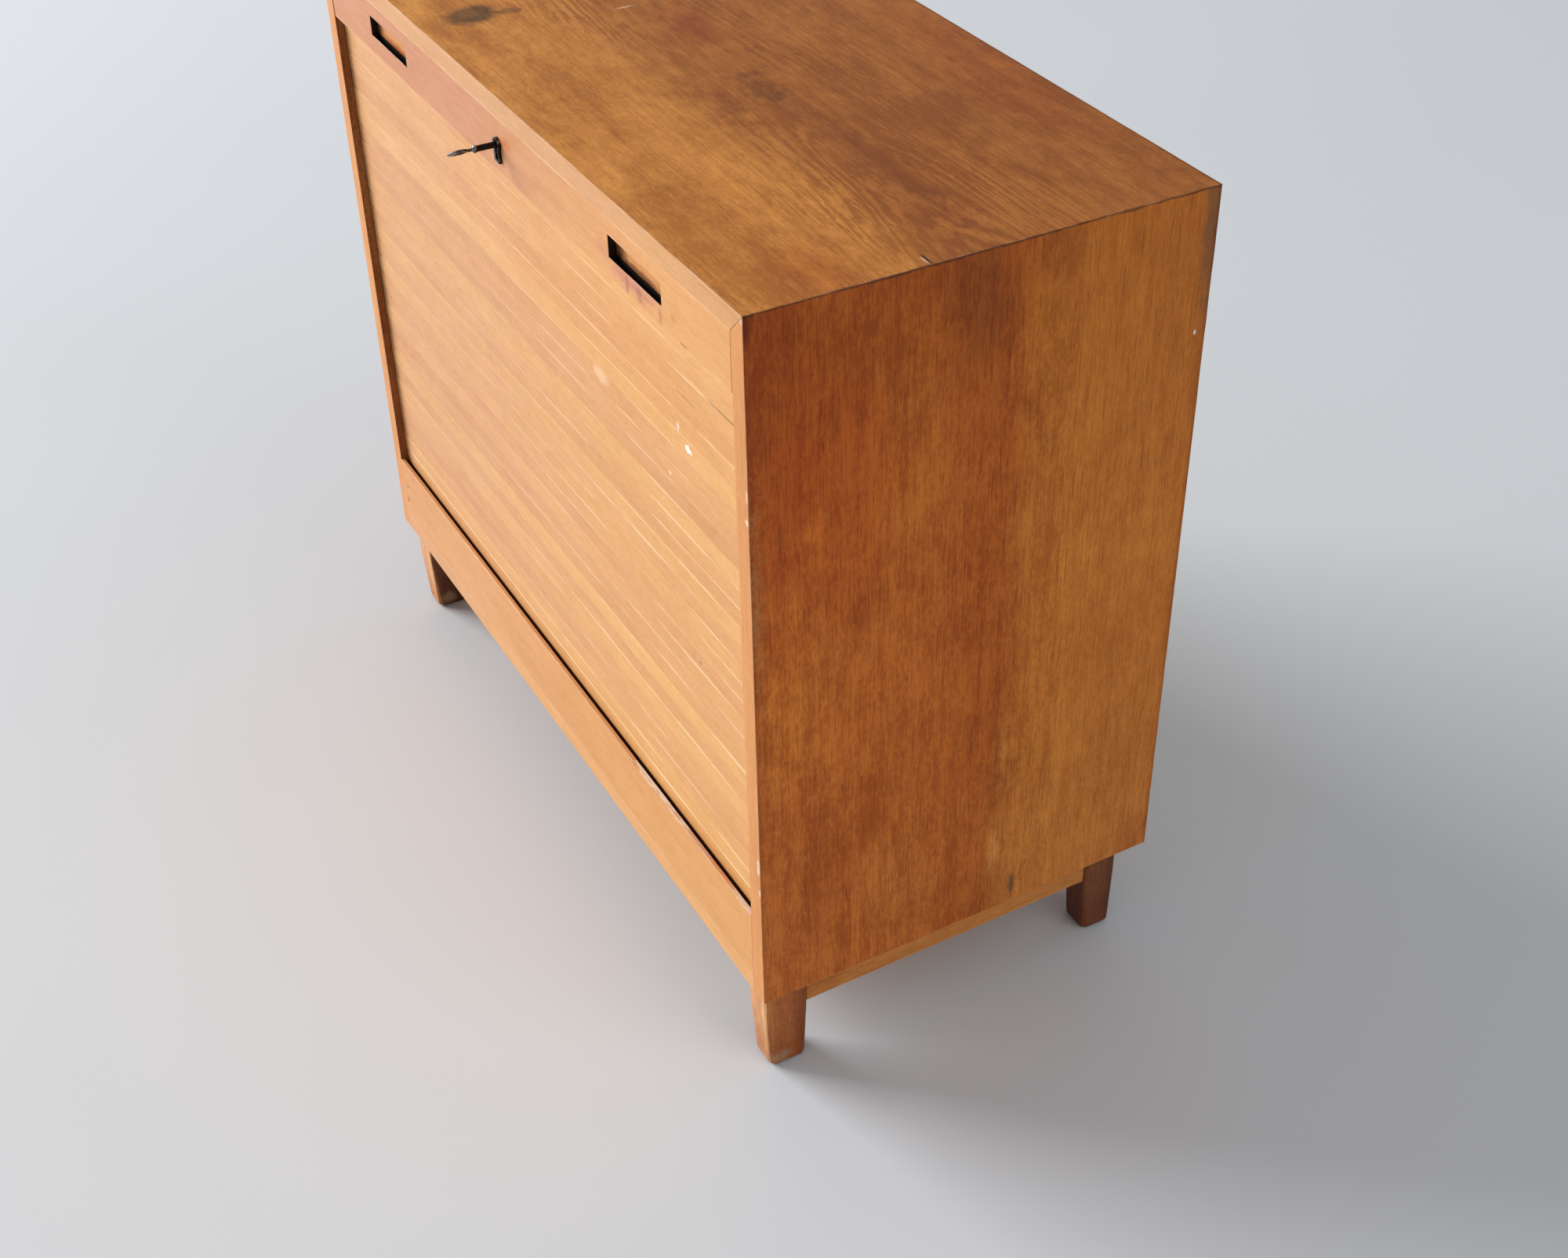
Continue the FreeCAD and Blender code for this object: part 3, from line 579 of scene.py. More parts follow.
leftLook = dict(
    sideLook, seed=4.2, streak=0.75, blotch=0.75, calm=None, pale=(0.6, 0.262, 0.078),
    deep=(0.41, 0.158, 0.04),
    marks=[
        # painted shade on the inner face, then the outer one
        tint((-insideRight, -0.1, 0.45), (0.008, far, far), (0.6, 0.48, 0.44), 1.0, (0.6, 40.0, 0.4)),
        tint((-boxRight, 0.06, 0.5), (0.012, 0.12, far), (0.84, 0.72, 0.64), 0.9, (0.6, 7.0, 0.6)),
    ])


def makeSides():
    for name, node, look in (("rightSide", "right_side", sideLook), ("leftSide", "left_side", leftLook)):
        bm = copyNode(node)
        easeEdges(bm, cornerEdges(bm, outerEdge), look)
        paint(bm, 1, onFront)
        finishBoard(bm, name, node, {name + "Oak": look, name + "EdgeOak": sideEdgeLook})


# lead rail at the head of the curtain, with a finger pull on each side of its keyhole

leadLook = dict(
    frontLook, seed=3.4, ease=0.0005, rub=0.0005, aboutKeyhole=0.05,
    pullAcross=(0.222, 0.316), pullUp=(0.743, 0.774), pullIn=(0.0003, 0.0078),
    marks=[
        # pinker left half
        tint((-0.3, railFront, 0.76), (0.62, far, far), (0.80, 0.72, 1.02), 1.0, (0.5, 5.0, 0.7)),
        # drips and a stain about the right pull
        tint((0.2545, railFront, 0.7435), (0.004, 0.02, 0.011), (0.62, 0.5, 0.75), 0.7, (1.2, 120.0, 0.6)),
        tint((0.277, railFront, 0.7445), (0.006, 0.02, 0.010), (0.66, 0.6, 0.75), 0.65, (1.2, 120.0, 0.6)),
        tint((0.313, railFront, 0.743), (0.0035, 0.02, 0.010), (0.62, 0.54, 0.78), 0.7, (1.0, 120.0, 0.6)),
        tint((0.262, railFront, 0.757), (0.078, 0.02, 0.026), (0.88, 0.78, 1.15), 0.9, (1.1, 75.0, 0.8)),
        tint((0.265, railFront, 0.748), (0.05, 0.02, 0.007), (0.8, 0.66, 0.95), 0.6, (1.6, 140.0, 0.9)),
        # small dents, and rubbing at the keyhole
        tint((0.352, railFront, 0.7365), (0.008, 0.02, 0.0018), (0.6, 0.45, 0.4), 0.7, (1.4, 200.0, 0.6)),
        tint((0.336, railFront, 0.752), (0.006, 0.02, 0.005), (0.85, 0.7, 0.6), 0.6, (0.6, 40.0, 0.6)),
        tint((0.016, railFront, 0.767), (0.022, 0.02, 0.01), (0.95, 0.66, 0.45), 0.75, (1.2, 70.0, 0.9)),
    ])

# painted shade inside the finger pulls: near-black wood on the end walls, sill and ceiling
pullShadeLook = dict(
    frontLook, pale=(0.035, 0.02, 0.014), deep=(0.015, 0.009, 0.007), pore=(0.008, 0.005, 0.004),
    worn=(0.05, 0.03, 0.02), wearAmount=0.2, sheen=0.1)

pullBackLook = dict(
    frontLook, pale=(0.8, 0.37, 0.14), deep=(0.64, 0.265, 0.09), wearAmount=0.0, sheen=0.1,
    marks=[
        # hand dirt with painted half-shade along the lower part
        tint((-0.27, railFront, 0.7535), (0.06, far, 0.009), (0.62, 0.36, 0.28), 0.95, (0.9, 60.0, 0.8)),
        tint((0.262, railFront, 0.7535), (0.06, far, 0.0075), (0.34, 0.27, 0.29), 0.9, (1.0, 70.0, 0.6)),
        # painted shade cast by the left end walls
        tint((0.222, railFront, 0.76), (0.026, far, 0.012), (0.2, 0.15, 0.13), 0.9, (0.9, 80.0, 0.7)),
        tint((-0.316, railFront, 0.76), (0.026, far, 0.012), (0.25, 0.18, 0.14), 0.9, (0.9, 80.0, 0.7)),
        # painted shade over the deep lower part, below the sill
        cover((0.0, railFront, 0.744), (far, far, 0.0108), (0.012, 0.008, 0.006), 1.0, (0.12, 90.0, 0.16)),
    ])


def makeLeadRail():
    bm = copyNode("lead_rail")

    def frontEdge(middle, edge):
        onFace = middle.y < railFront + 2 * touch and edge.calc_length() > longEdge
        return onFace and abs(middle.x) > leadLook["aboutKeyhole"]

    def inPull(middle, normal):
        spans = ((abs(middle.x), "pullAcross"), (middle.z, "pullUp"), (middle.y - railFront, "pullIn"))
        return all(leadLook[span][0] < value < leadLook[span][1] for value, span in spans)

    easeEdges(bm, cornerEdges(bm, frontEdge), leadLook)
    # painted shade on the pull's inner faces; the back wall keeps the wood, with painted shade marks
    paint(bm, 1, inPull)
    paint(bm, 2, lambda middle, normal: inPull(middle, normal) and normal.y < -0.9)
    finishBoard(bm, "leadRail", "lead_rail",
                {"leadRailOak": leadLook, "pullShadeOak": pullShadeLook, "pullBackOak": pullBackLook}, body="door")


# bottom rail, whose lip the curtain turns in behind, and the bottom board's edge below it

lipEdge = -0.188  # just behind the lip's front edge

bottomRailLook = dict(
    frontLook, seed=5.1, pale=(0.81, 0.405, 0.143), deep=(0.65, 0.287, 0.09), rub=0.001,
    marks=[
        # tone and dirt
        tint((-0.35, boxFront, 0.16), (0.6, far, far), (0.97, 0.97, 1.13), 1.0),
        tint((0.2, lipEdge, lipTop), (0.26, 0.01, 0.003), (0.7, 0.55, 0.5), 0.7, (1.4, 70.0, 0.6)),
        tint((0.25, boxFront, 0.128), (0.4, 0.01, 0.0009), (0.62, 0.48, 0.4), 0.7, (1.6, 60.0, 0.9)),
        # chips along the lip
        cover((0.222, lipEdge, lipTop), (0.026, 0.01, 0.004), (0.86, 0.6, 0.42), 0.5, (1.6, 110.0, 0.4)),
        cover((0.281, lipEdge, lipTop), (0.016, 0.01, 0.004), (0.86, 0.6, 0.42), 0.5, (1.6, 110.0, 0.4)),
        cover((0.379, lipEdge, lipTop), (0.016, 0.01, 0.005), (0.72, 0.25, 0.06), 0.85, (1.2, 110.0, 0.5)),
        cover((0.413, lipEdge, lipTop), (0.015, 0.01, 0.004), (0.86, 0.6, 0.42), 0.5, (1.4, 110.0, 0.4)),
        cover((0.09, lipEdge, lipTop), (0.03, 0.01, 0.004), (0.75, 0.36, 0.13), 0.7, (1.6, 110.0, 0.4)),
        # two small dark dots
        tint((-0.42, boxFront, 0.172), (0.004, 0.01, 0.003), (0.4, 0.3, 0.25), 0.8, (0.6, 150.0, 0.6)),
        tint((-0.424, boxFront, 0.152), (0.004, 0.01, 0.004), (0.35, 0.26, 0.2), 0.8, (0.6, 150.0, 0.6)),
    ])

lipLook = dict(
    frontLook, seed=5.9, pale=(0.66, 0.32, 0.13), deep=(0.5, 0.22, 0.08), wearAmount=0.2,
    marks=[
        cover((0.32, lipEdge, lipTop), (0.16, far, far), (0.58, 0.37, 0.24), 0.7, (1.4, 60.0, 0.7)),
        cover((0.238, -0.1865, lipTop), (0.065, 0.0035, far), (0.78, 0.66, 0.55), 0.9, (1.6, 80.0, 0.5)),
        cover((0.42, -0.187, lipTop), (0.03, 0.004, far), (0.74, 0.6, 0.5), 0.8, (1.6, 80.0, 0.5)),
        cover((0.37, lipEdge, lipTop), (0.03, far, far), (0.62, 0.2, 0.05), 0.6, (1.2, 80.0, 0.8)),
    ])


def makeBottomRail():
    bm = copyNode("bottom_rail")
    upper = lipTop - 0.001
    easeEdges(bm, cornerEdges(bm, lambda middle, edge: middle.z > upper), bottomRailLook)
    paint(bm, 1, lambda middle, normal: normal.z > 0.8 and middle.z > upper)
    finishBoard(bm, "bottomRail", "bottom_rail", {"bottomRailOak": bottomRailLook, "lipTopOak": lipLook})


bottomLook = dict(
    frontLook, seed=6.3, pale=(0.86, 0.46, 0.19), deep=(0.69, 0.33, 0.118),
    marks=[
        tint((-0.38, boxFront, 0.118), (0.32, far, far), (0.87, 0.84, 0.98), 0.9),
    ])


def makeBottomBoard():
    bm = copyNode("bottom_panel")
    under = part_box("bottom_panel")[0].z

    def lowerEdge(middle, edge):
        return middle.y < boxFront + touch and middle.z < under + touch

    easeEdges(bm, cornerEdges(bm, lowerEdge), bottomLook)
    finishBoard(bm, "bottomBoard", "bottom_panel", {"bottomOak": bottomLook})


# slats of the curtain: the straight ones hang, and those up to folding get a mesh of their own

slatLook = dict(
    oak, seed=8.0, pith=(0.0, 0.3, 0.2), taper=0.02, rings=0.006, wander=0.03, figure=0.12, streak=0.42,
    blotch=0.4, pores=0.2, pale=(0.86, 0.465, 0.18), deep=(0.69, 0.335, 0.12), pore=(0.48, 0.21, 0.075),
    worn=(0.92, 0.66, 0.42), sheen=0.25, dull=0.2, ease=0.0009, pink=(0.935, 0.875, 0.91),
    # below: painted shade behind the bottom lip, and painted highlight with rubbing on the long edges
    gold=(1.03, 1.05, 0.98), lipShade=(0.02, 0.012, 0.008), apart=37.0, rubAndHighlightFrom=0.0080, rubAndHighlightTo=0.0092,
    rubAndHighlightAcross=(-0.2, 0.25, 0.12, 0.78), lipShadeFull=0.0058, lipShadeNone=0.0028,
    count=30, straight=27, folding=28, cuts=60, standProud=0.00018, lean=0.006, sway=0.00012,
    rest=0.203, keep=0.0038,
    marks=[
        # tones
        tint((-0.4, slatFront, 0.45), (0.7, far, far), (0.92, 0.93, 1.1), 1.0),
        tint((0.15, slatFront, 0.67), (0.5, far, 0.085), (0.98, 0.89, 0.82), 0.8, (0.5, 9.0, 0.9)),
        # dark gaps at the right
        tint((0.41, slatFront, 0.6968), (0.06, 0.02, 0.0012), (0.45, 0.36, 0.3), 0.85, (0.9, 60.0, 0.6)),
        tint((0.33, slatFront, 0.6777), (0.03, 0.02, 0.0012), (0.6, 0.45, 0.45), 0.7, (1.2, 90.0, 0.6)),
        tint((0.42, slatFront, 0.6385), (0.008, 0.02, 0.0018), (0.5, 0.45, 0.3), 0.8, (0.9, 120.0, 0.6)),
        # paint specks, a pale rub and a pit
        cover((0.333, slatFront, 0.631), (0.006, 0.02, 0.004), (0.95, 0.9, 0.85), 0.9, (2.4, 330.0, 0.3)),
        cover((0.316, slatFront, 0.644), (0.003, 0.02, 0.005), (0.92, 0.78, 0.64), 0.6, (2.4, 260.0, 0.4)),
        cover((0.296, slatFront, 0.589), (0.0025, 0.02, 0.002), (0.95, 0.8, 0.68), 0.6, (2.2, 260.0, 0.4)),
        cover((0.166, slatFront, 0.615), (0.02, 0.02, 0.009), (0.9, 0.62, 0.36), 0.6, (0.6, 90.0, 0.6)),
        tint((0.335, slatFront, 0.418), (0.003, 0.02, 0.002), (0.4, 0.25, 0.18), 0.8, (0.6, 200.0, 0.6)),
    ])


def slatWood():
    material, tree, shader, place = startMaterial("slatOak")
    tone = newNode(tree, "Attribute", attribute_name="tone").outputs["Fac"]
    middle = newNode(tree, "Attribute", attribute_name="middle").outputs["Fac"]
    shift = newNode(tree, "CombineXYZ")
    plug(tree, shift.inputs[0], calc(tree, "MULTIPLY", tone, slatLook["apart"]))
    moved = vecCalc(tree, "ADD", place, shift.outputs[0])
    wood = useFigure(tree, moved, slatLook, slatLook["streak"], slatLook["blotch"])
    ownTone = mixColor(tree, tone, slatLook["pink"], slatLook["gold"])
    color = mixColor(tree, 1.0, wood["Color"], ownTone, "MULTIPLY")
    # painted highlight with rubbing on the long edges, in places and more so towards the right
    across, _, height = split(tree, place)
    fromMiddle = calc(tree, "ABSOLUTE", calc(tree, "SUBTRACT", height, middle))
    patchy = ramp(tree, noiseAt(tree, place, (9.0, 7.0, 60.0), 3.0), 0.42, 0.66)
    rubbed = calc(tree, "MULTIPLY", ramp(tree, fromMiddle, slatLook["rubAndHighlightFrom"], slatLook["rubAndHighlightTo"]), patchy)
    rubbed = calc(tree, "MULTIPLY", rubbed, ramp(tree, across, *slatLook["rubAndHighlightAcross"]))
    color = mixColor(tree, rubbed, color, slatLook["worn"])
    color = addMarks(tree, color, place, slatLook["marks"])
    # painted shade behind the bottom lip, darker towards the bottom
    lipShaded = ramp(tree, height, lipTop - slatLook["lipShadeFull"], lipTop - slatLook["lipShadeNone"], 0.94, 0.0)
    color = mixColor(tree, lipShaded, color, slatLook["lipShade"])
    rough = calc(tree, "MULTIPLY_ADD", wood["Dull"], slatLook["dull"], slatLook["rough"], clamp=True)
    plugAll(tree, shader, {"Base Color": color, "Roughness": rough, "Specular IOR Level": slatLook["sheen"]})
    addBump(tree, shader, wood["Height"], slatLook["relief"])
    return material


# each hanging slat stands a little proud or back, leans, and is not quite straight
def hangingSlat(number, low, high, middle):
    bm = startBoard(low, high)
    along = [edge for edge in cornerEdges(bm) if edge.calc_length() > high.x]
    bmesh.ops.subdivide_edges(bm, edges=along, cuts=slatLook["cuts"])
    inset = 0.001
    front = cornerEdges(bm, lambda at, edge: at.y < low.y + inset and abs(at.x) < high.x - inset)
    roundEdges(bm, front, slatLook["ease"])
    proud = draw.uniform(-1.0, 1.0) * slatLook["standProud"]
    lean = draw.uniform(-1.0, 1.0) * slatLook["lean"]
    for vert in bm.verts:
        sway = noise.noise(Vector((vert.co.x * 3.0, number * 1.7, 0.0))) * slatLook["sway"]
        vert.co.y += proud + sway + lean * (vert.co.z - middle)
    return bm


def makeCurtain():
    material = slatWood()
    for number in range(1, slatLook["count"] + 1):
        node = "slat_%02d" % number
        low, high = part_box(node)
        middle = (low.z + high.z) / 2
        if number <= slatLook["straight"]:
            bm = hangingSlat(number, low, high, middle)
        else:  # in the bend
            bm = copyNode(node)
        piece = finishPiece(bm, "slat_%02d_face" % number, [material], "cabinet", "slat_wood", node)
        for label, value in (("tone", draw.random()), ("middle", middle)):
            layer = piece.data.attributes.new(label, "FLOAT", "POINT")
            layer.data.foreach_set("value", [value] * len(piece.data.vertices))
        if number <= slatLook["folding"]:
            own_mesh(piece)


# canvas behind the slats: a lap on the rail, the hanging part and the tail in the bend

canvasLook = {"thread": (0.42, 0.34, 0.22), "gap": (0.2, 0.15, 0.09), "slub": (0.5, 0.42, 0.3),
              "pitch": 0.0011, "rough": 0.9, "relief": 0.0003, "inBend": 0.0427}


def canvasCloth():
    material, tree, shader, place = startMaterial("backingCanvas")
    x, y, z = split(tree, place)
    turns = 2 * math.pi / canvasLook["pitch"]
    warp = calc(tree, "SINE", calc(tree, "MULTIPLY", x, turns))
    weft = calc(tree, "SINE", calc(tree, "MULTIPLY", calc(tree, "SUBTRACT", z, y), turns))
    weave = calc(tree, "MULTIPLY_ADD", calc(tree, "MULTIPLY", warp, weft), 0.5, 0.5)
    slub = noiseAt(tree, place, (60.0, 60.0, 300.0), 2.0)
    color = mixColor(tree, weave, canvasLook["gap"], canvasLook["thread"])
    color = mixColor(tree, ramp(tree, slub, 0.35, 0.75, 0.0, 0.5), color, canvasLook["slub"])
    plugAll(tree, shader, {"Base Color": color, "Roughness": canvasLook["rough"]})
    addBump(tree, shader, weave, canvasLook["relief"])
    return material


def makeCanvas():
    material = canvasCloth()
    low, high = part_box("canvas_backing")
    rest = slatLook["rest"]
    parts = (("canvasLap", railBottom, far, high.z - railBottom, "door", ["lead_rail"]),
             ("canvasHang", rest, railBottom, railBottom - rest, "cabinet", ["slat_14"]),
             ("canvasTail", -far, rest, canvasLook["inBend"], "cabinet", ["slat_29", "slat_30"]))
    for name, start, end, length, body, under in parts:
        bm = copyNode("canvas_backing", flatten=False)
        for height, up in ((start, -1), (end, 1)):
            geom = bm.verts[:] + bm.edges[:] + bm.faces[:]
            bmesh.ops.bisect_plane(bm, geom=geom, plane_co=(0, 0, height), plane_no=(0, 0, up),
                                   clear_outer=True)
            bmesh.ops.holes_fill(bm, edges=[edge for edge in bm.edges if edge.is_boundary])
        piece = finishPiece(bm, name, [material], body, "canvas", "canvas_backing")
        if name == "canvasHang":
            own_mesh(piece)


# leg frame, with light and shade painted in: front legs are painted lit and pale in front and in dark shade
# on the inner face, back legs are painted dark all round as in shade

legLook = dict(
    oak, turn=alongZ, pith=(0.2, 0.3, -0.3), taper=0.01, rings=0.004, wander=0.015, figure=0.2, streak=0.55,
    blotch=0.6, pores=0.4, pale=(0.52, 0.16, 0.04), deep=(0.30, 0.078, 0.018), pore=(0.14, 0.04, 0.012),
    worn=(0.66, 0.36, 0.18), wear=0.002, wearAmount=0.4, ease=0.0014, rub=0.0014, underBox=0.003)
litLegFrontLook = dict(legLook, pale=(0.78, 0.385, 0.17), deep=(0.57, 0.245, 0.102), pore=(0.34, 0.14, 0.06))
shadeLook = dict(
    legLook, pale=(0.26, 0.086, 0.026), deep=(0.15, 0.046, 0.014), pore=(0.05, 0.018, 0.007),
    worn=(0.3, 0.12, 0.05))
deepShadeLook = dict(
    legLook, pale=(0.17, 0.053, 0.016), deep=(0.1, 0.029, 0.01), pore=(0.04, 0.013, 0.006),
    worn=(0.1, 0.05, 0.03))


def legMarks(low, high, front):
    middle = (low + high) / 2
    marks = [
        tint((middle.x, middle.y, 0.02), (0.1, 0.1, 0.036), (0.8, 0.7, 0.58), 0.9, (1.0, 50.0, 0.8)),
        tint((middle.x, high.y, 0.05), (0.1, 0.02, 0.2), (0.55, 0.46, 0.4), 0.8, (0.6, 30.0, 0.8)),
        tint((middle.x, middle.y, 0.0), (0.1, 0.1, 0.007), (0.5, 0.45, 0.42), 0.85, (0.8, 120.0, 0.8)),
    ]
    if front:  # dirt and a painted highlight on the front corner
        marks[1:1] = [
            cover((high.x, low.y + 0.016, 0.012), (0.02, 0.014, 0.012), (0.36, 0.23, 0.13), 0.6,
                  (1.4, 90.0, 0.8)),
            tint((high.x, low.y, 0.05), (0.014, 0.016, 0.2), (1.3, 1.5, 1.5), 0.8, (0.5, 40.0, 0.9)),
        ]
    return marks


def makeLegs():
    # painted light and shade: each face of a leg takes a lit or a shaded copy of one wood
    woods = {"front": (legLook, litLegFrontLook, deepShadeLook), "back": (shadeLook, deepShadeLook, deepShadeLook)}
    for across, inner in (("right", -1), ("left", 1)):
        for deep in ("front", "back"):
            node = "leg_%s_%s" % (deep, across)
            low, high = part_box(node)
            bm = copyNode(node)
            shown = high.z - legLook["underBox"]
            easeEdges(bm, cornerEdges(bm, lambda middle, edge: middle.z < shown), legLook)
            paint(bm, 1, lambda middle, normal: normal.y < -0.8)
            paint(bm, 2, lambda middle, normal: normal.x * inner > 0.8)
            own = {"seed": 9.0 + low.x * 3 + low.y * 5, "marks": legMarks(low, high, deep == "front")}
            looks = {"%s_oak_%d" % (node, number): dict(look, **own)
                     for number, look in enumerate(woods[deep])}
            finishBoard(bm, "leg%s%s" % (deep.title(), across.title()), node, looks, slot="base_wood")


baseRailLook = dict(
    legLook, seed=12.0, pale=(0.72, 0.28, 0.062), deep=(0.52, 0.176, 0.034), ease=0.001, rub=0.0008,
    easeFrom=0.05,
    marks=[
        tint((0.43, -0.15, 0.1), (0.1, 0.09, 0.1), (0.72, 0.62, 0.52), 0.9, (0.8, 30.0, 0.9)),
    ])


def makeBaseRails():
    for side, turn in (("front", alongX), ("back", alongX), ("right", alongY), ("left", alongY)):
        node = "base_rail_" + side
        bm = copyNode(node)
        along = cornerEdges(bm, lambda middle, edge: edge.calc_length() > baseRailLook["easeFrom"])
        easeEdges(bm, along, baseRailLook)
        look = dict(baseRailLook, turn=turn, seed=baseRailLook["seed"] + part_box(node)[0].y)
        finishBoard(bm, "baseRail" + side.title(), node, {node + "_oak": look}, slot="base_wood")


# inside of the box and the back

insideLook = dict(
    oak, pith=(0.0, 0.4, 0.3), rings=0.008, wander=0.05, figure=0.22, streak=0.4, pores=0.25,
    pale=(0.66, 0.42, 0.21), deep=(0.5, 0.29, 0.13), pore=(0.3, 0.16, 0.07), worn=(0.7, 0.5, 0.3),
    wearAmount=0.3, rough=0.55, rub=0.0004)


def makeInside():
    for name, node, turn in (("shelfBoard", "shelf", alongX), ("floorBoard", "inner_floor", alongX),
                             ("innerBack", "inner_back", alongZ), ("backBoard", "back_panel", alongZ)):
        bm = startBoard(*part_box(node))
        easeEdges(bm, cornerEdges(bm), insideLook, step=0.02)
        look = dict(insideLook, turn=turn, seed=len(node) * 1.3)
        finishBoard(bm, name, node, {name + "Ply": look}, slot="inside_wood")


# lock, key and fittings

# the teal colour is a painted reflection on the keyhole liner's inner wall
steelLook = {"bright": (0.56, 0.55, 0.53), "dark": (0.08, 0.07, 0.065), "rust": (0.16, 0.075, 0.035),
             "black": (0.022, 0.018, 0.016), "reflectedTeal": (0.34, 0.38, 0.38), "cloud": (120.0, 120.0, 120.0),
             "speck": (700.0, 700.0, 700.0), "rustPatch": (260.0, 260.0, 260.0), "relief": 0.00006}


def wornSteel(name, tarnish, bright="bright", dark="dark", smooth=0.24):
    material, tree, shader, place = startMaterial(name)
    cloud = noiseAt(tree, place, steelLook["cloud"], 3.0)
    speck = noiseAt(tree, place, steelLook["speck"], 2.0)
    mask = ramp(tree, calc(tree, "MULTIPLY_ADD", speck, 0.4, cloud), 0.95 - tarnish, 1.15 - tarnish * 0.6)
    color = mixColor(tree, mask, steelLook[bright], steelLook[dark])
    rust = ramp(tree, noiseAt(tree, place, steelLook["rustPatch"], 3.0), 0.6, 0.72, 0.0, 0.5)
    plugAll(tree, shader, {
        "Base Color": mixColor(tree, rust, color, steelLook["rust"]),
        "Metallic": calc(tree, "MULTIPLY_ADD", rust, -0.8, 1.0, clamp=True),
        "Roughness": ramp(tree, mask, 0.0, 1.0, smooth, smooth + 0.18)})
    addBump(tree, shader, speck, steelLook["relief"])
    return material


keyLook = {"turn": math.radians(57), "bowLong": 0.0195, "bowWide": 0.017, "holeWide": 0.0095,
           "bowThick": 0.0026, "bowSides": 40, "bandSides": 12, "shankSides": 24, "shank": 0.0028,
           "collarEnd": 0.0071, "bit": (0.0022, 0.0055, 0.0085), "bitAt": (0.0, 0.01375, -0.00575),
           "belowPivot": 0.005}


def makeKey(materials):
    low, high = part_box("key")
    tip = low.y
    bm = bmesh.new()
    # bow: a rounded section swept round, then drawn out into an oval
    band = (keyLook["bowWide"] - keyLook["holeWide"]) / 4
    ring = (keyLook["bowWide"] + keyLook["holeWide"]) / 4
    section = bmesh.ops.create_circle(bm, cap_ends=False, segments=keyLook["bandSides"], radius=1.0)["verts"]
    bmesh.ops.scale(bm, vec=(keyLook["bowThick"] / 2, band, 1.0), verts=section)
    bmesh.ops.translate(bm, vec=(0.0, ring, 0.0), verts=section)
    bmesh.ops.spin(bm, geom=section + bm.edges[:], cent=(0, 0, 0), axis=(1, 0, 0), dvec=(0, 0, 0),
                   angle=2 * math.pi, steps=keyLook["bowSides"], use_merge=True)
    bmesh.ops.remove_doubles(bm, verts=bm.verts, dist=weld)
    bmesh.ops.scale(bm, vec=(1.0, keyLook["bowLong"] / keyLook["bowWide"], 1.0), verts=bm.verts)
    bmesh.ops.translate(bm, vec=(0.0, tip + keyLook["bowLong"] / 2, 0.0), verts=bm.verts)
    # neck, collar and shank, turned about the key's axis: radius and distance from the bow
    bowEnd = tip + keyLook["bowLong"]
    end = high.y - bowEnd
    shank, collarEnd = keyLook["shank"], keyLook["collarEnd"]
    profile = [(0.0, -0.0014), (0.0012, -0.0012), (0.0015, 0.0002), (0.0013, 0.0022), (0.0018, 0.0037),
               (0.0031, 0.0045), (0.0034, 0.0051), (0.0034, 0.0062), (0.0031, 0.0069), (shank, collarEnd),
               (shank, 0.0105), (0.0026, 0.0108), (shank, 0.0111), (shank, end - 0.0006), (0.0022, end),
               (0.0, end)]
    verts = [bm.verts.new((radius, bowEnd + along, 0.0)) for radius, along in profile]
    edges = [bm.edges.new(pair) for pair in zip(verts, verts[1:])]
    bmesh.ops.spin(bm, geom=verts + edges, cent=(0, 0, 0), axis=(0, 1, 0), dvec=(0, 0, 0),
                   angle=2 * math.pi, steps=keyLook["shankSides"], use_merge=True)
    bmesh.ops.remove_doubles(bm, verts=bm.verts, dist=weld)
    bit = bmesh.ops.create_cube(bm, size=1.0)["verts"]
    bmesh.ops.scale(bm, vec=keyLook["bit"], verts=bit)
    bmesh.ops.translate(bm, vec=Vector(keyLook["bitAt"]) + Vector((0.0, boxFront, 0.0)), verts=bit)
    bmesh.ops.recalc_face_normals(bm, faces=bm.faces)
    paint(bm, 1, lambda middle, normal: middle.y < bowEnd + collarEnd)
    bmesh.ops.rotate(bm, cent=(0, 0, 0), matrix=Matrix.Rotation(keyLook["turn"], 3, "Y"), verts=bm.verts)
    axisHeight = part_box("hook_pivot")[0].z - keyLook["belowPivot"]
    bmesh.ops.translate(bm, vec=(0.0, 0.0, axisHeight), verts=bm.verts)
    finishPiece(bm, "cabinetKey", materials, "key", "key_steel", "key", smooth=True)


linerLook = {"ease": 0.0005, "rub": 0.0, "step": 0.01, "head": 0.006, "footIn": 0.002}


# painted highlights in bright steel along the head's rim and at the foot, painted reflection in grey steel on
# the inner left wall
def makeLiner(shank, bow):
    low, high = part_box("keyhole_liner")
    bm = copyNode("keyhole_liner")
    rim = cornerEdges(bm, lambda middle, edge: middle.y < low.y + touch)
    easeEdges(bm, rim, linerLook, step=linerLook["step"])
    footIn = linerLook["footIn"]
    # painted highlights on the head's upper faces and the foot's left corner
    paint(bm, 1, lambda middle, normal: normal.z > 0.45 and middle.z > high.z - linerLook["head"])
    paint(bm, 1, lambda middle, normal: middle.x < -footIn and middle.z < low.z + footIn)
    # painted reflection on the inner left wall
    paint(bm, 2, lambda middle, normal: normal.x > 0.7 and middle.x < 0)
    reflectingWall = wornSteel("linerReflectionSteel", 0.3, bright="reflectedTeal")
    finishPiece(bm, "keyholeLiner", [shank, bow, reflectingWall], "door", "key_steel", "keyhole_liner")


